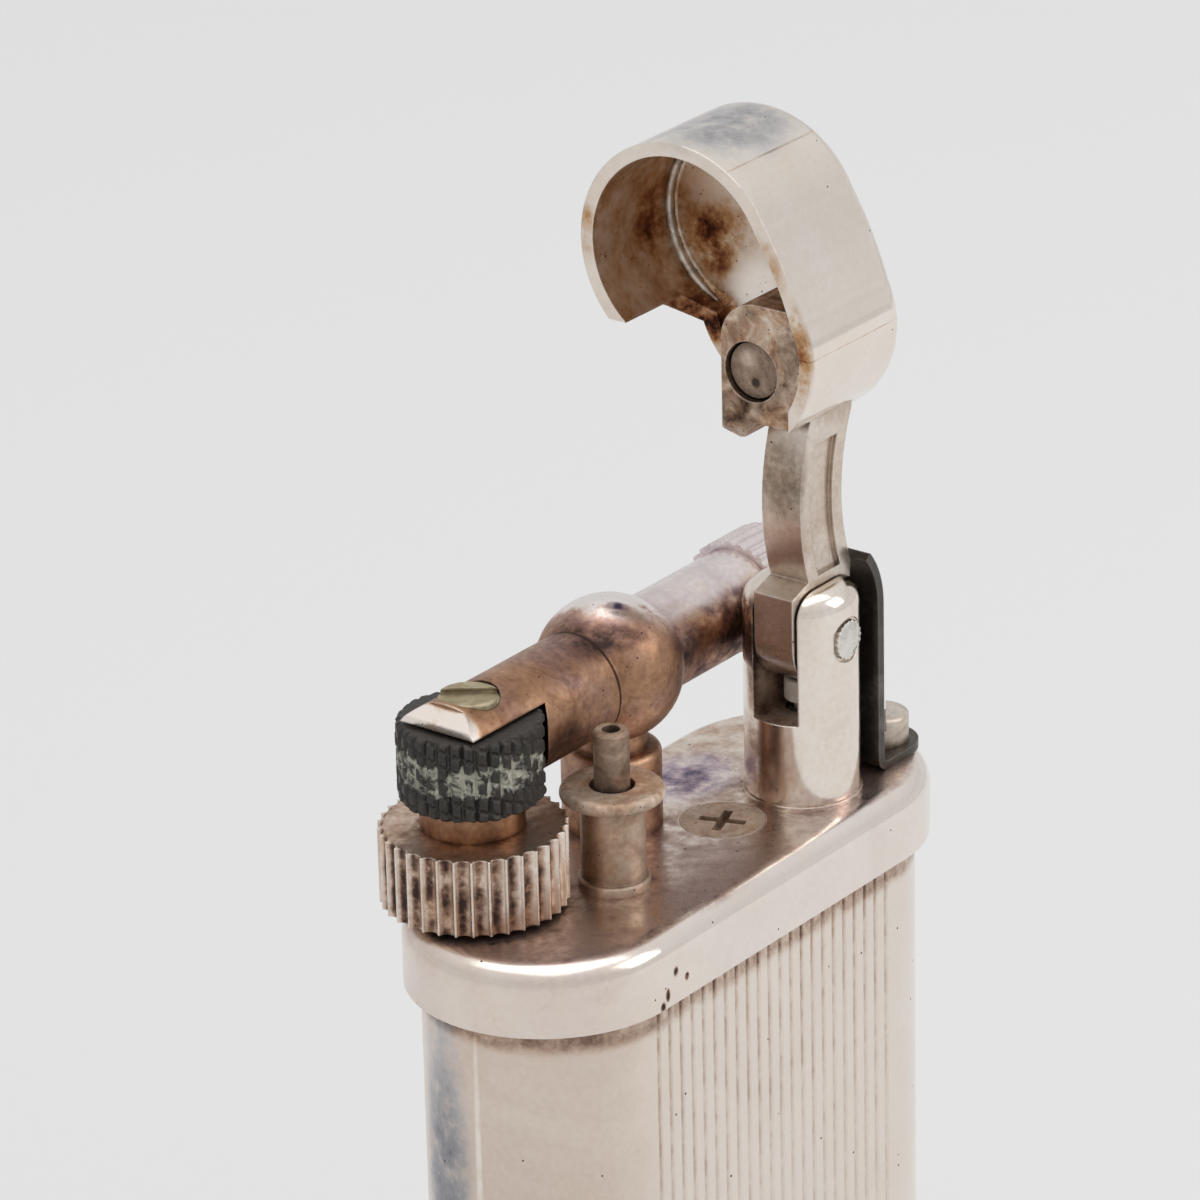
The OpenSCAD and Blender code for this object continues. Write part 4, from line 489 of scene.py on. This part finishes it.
# crumbs of flint, really some 0.05 mm across, drawn at 0.25 mm to show
speck = add(tree, "ShaderNodeTexNoise", {"Vector": place, "Scale": 1 / (0.25 * MM), "Detail": 3.0})
soil = add(tree, "ShaderNodeMix", {0: speck.outputs["Fac"], 6: linear("#1f1d1b"), 7: linear("#4c4743")},
           data_type="RGBA").outputs[2]
crumb = add(tree, "ShaderNodeMix", {0: speck.outputs["Fac"], 6: linear("#86857a"), 7: linear("#c9c7b6")},
            data_type="RGBA").outputs[2]
tree.links.new(add(tree, "ShaderNodeMix", {0: dust, 6: soil, 7: crumb}, data_type="RGBA").outputs[2],
               shader.inputs["Base Color"])
tree.links.new(add(tree, "ShaderNodeMapRange", {"Value": dust, "To Min": 0.55, "To Max": 0.0}).outputs[0],
               shader.inputs["Metallic"])
tree.links.new(add(tree, "ShaderNodeMapRange", {"Value": dust, "To Min": 0.42, "To Max": 0.9}).outputs[0],
               shader.inputs["Roughness"])
bump = add(tree, "ShaderNodeBump", {"Height": speck.outputs["Fac"], "Strength": 0.7, "Distance": 0.04 * MM})
tree.links.new(bump.outputs[0], shader.inputs["Normal"])

FINISH = {
    "body_shell": silver_body, "base_plate": silver_body, "top_plate": silver_cap, "hood": silver_hood,
    "arm": silver_arm, "pillar": silver_pillar, "pillar_washer": silver_pillar, "thumb_wheel": silver_thumb,
    "pad_block": block_crust, "pad": pad_face, "ball_post": silver_tube, "tube_ball": silver_tube,
    "front_flint_tube": silver_tube, "rear_flint_tube": violet_tube, "flint_cap": violet_cap,
    "leaf_spring": blued_spring, "hinge_pin": nickel_screw, "leaf_screw": leaf_screw, "follower": follower_face,
    "wheel_axle": axle_brass, "wheel_collar": collar_brass, "burner_barrel": burnt_brass, "nozzle": nozzle_brass,
    "burner_flange": burner_crust, "plate_screw": crusted_screw,
}


def new_piece(name, vertices, faces, body, slot, material, smooth=False):
    """A mesh piece in mm that rides on a body of the frame."""
    mesh = bpy.data.meshes.new(name)
    mesh.from_pydata([(x * MM, y * MM, z * MM) for x, y, z in vertices], [], faces)
    mesh.validate()
    if smooth:
        mesh.polygons.foreach_set("use_smooth", [True] * len(mesh.polygons))
    mesh.materials.append(material)
    piece = bpy.data.objects.new(name, mesh)
    bpy.context.scene.collection.objects.link(piece)
    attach(piece, body)
    return piece


# ---------------------------------------------------------------- spark wheel, its rim cut upright and aslant
def cut_rim():
    """Rim of worn blocks between upright and slanting cuts."""
    chance = random.Random(7)
    cuts, rows = 34, 5  # round the rim and up it, as counted in the photograph
    lean = 10  # rows that the slanting cuts climb in one turn
    fine, steps = 10, 50  # mesh columns to a cut, mesh rows over the rim
    columns = cuts * fine
    wear = [[chance.uniform(0, 1) for _ in range(cuts)] for _ in range(rows)]
    vertices = []
    for j in range(steps + 1):
        up = j / steps
        for i in range(columns):
            turn = i / columns
            across, along = turn * cuts, up * rows + turn * lean
            upright = min(across % 1, 1 - across % 1) * 2
            slant = min(along % 1, 1 - along % 1) * 2
            block = wear[int(along) % rows][int(across)]
            deep = max(0.19 * max(0.0, 1 - upright / 0.45) ** 0.7, 0.14 * max(0.0, 1 - slant / 0.4) ** 0.8)
            deep += 0.08 * block + 0.05 * (across % 1) * wear[int(along + 2) % rows][int(across)]
            lip = 0.14 * max(0.0, 1 - min(up, 1 - up) / 0.035)
            r = SPARK_R - min(0.34, deep) - lip
            a = 2 * math.pi * turn
            vertices.append((WHEEL[0] + r * math.cos(a), WHEEL[1] + r * math.sin(a),
                             SPARK_LOW + (SPARK_HIGH - SPARK_LOW) * up))
    faces = []
    for j in range(steps):
        for i in range(columns):
            a, b = j * columns + i, j * columns + (i + 1) % columns
            faces.append((a, b, b + columns, a + columns))
    for level, ring in ((SPARK_LOW, 0), (SPARK_HIGH, steps * columns)):
        hole = len(vertices)
        for i in range(columns):
            a = 2 * math.pi * i / columns
            vertices.append((WHEEL[0] + AXLE_R * math.cos(a), WHEEL[1] + AXLE_R * math.sin(a), level))
        for i in range(columns):
            face = (ring + i, hole + i, hole + (i + 1) % columns, ring + (i + 1) % columns)
            faces.append(face if ring == 0 else face[::-1])
    low, high = len(vertices) - 2 * columns, len(vertices) - columns
    for i in range(columns):
        faces.append((low + i, high + i, high + (i + 1) % columns, low + (i + 1) % columns))
    return vertices, faces


spark = new_piece("cut_spark_wheel", *cut_rim(), "wheel", "dark_steel", flint_dust)
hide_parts("spark_wheel")


# ---------------------------------------------------------------- solder bead inside the hood, along wall and floor
def bead():
    """Round bead along the far inner corner of the hood."""
    vertices, faces = [], []
    steps, sides = 72, 10  # mesh along the bead and round it
    thick = 0.26  # radius of the bead in mm
    first, reach = 24, 150  # degrees round the lobe
    for i in range(steps + 1):
        t = i / steps
        a = math.radians(first + reach * t)
        fade = thick * min(1.0, 0.3 + 6 * min(t, 1 - t)) * (1 + 0.12 * math.sin(i * 1.9) * math.sin(i * 0.7))
        for k in range(sides):
            b = 2 * math.pi * k / sides
            r = HOOD_INNER_R - 0.16 + fade * math.cos(b)
            vertices.append((HOOD_FLOOR - 0.2 + fade * math.sin(b), HOOD_MIDDLE[0] + r * math.sin(a),
                             HOOD_MIDDLE[1] - r * math.cos(a)))
    for i in range(steps):
        for k in range(sides):
            p, q = i * sides + k, i * sides + (k + 1) % sides
            faces.append((p, q, q + sides, p + sides))
    faces.append(tuple(range(sides))[::-1])
    faces.append(tuple(range(steps * sides, (steps + 1) * sides)))
    return vertices, faces


new_piece("hood_bead", *bead(), "lift_arm", "silver_plate", solder, smooth=True)

# ---------------------------------------------------------------- every node of the frame gets its finish
for name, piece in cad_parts.items():
    finish = FINISH.get(name)
    if finish is None:
        slot = piece.data.materials[0].name if piece.data.materials else ""
        if "rubber" in slot or "seal" in name or "ring" in name:
            finish = rubber
        else:
            finish = plain_steel if "steel" in slot or "spring" in name else plain_brass
    piece.data.materials.clear()
    piece.data.materials.append(finish)
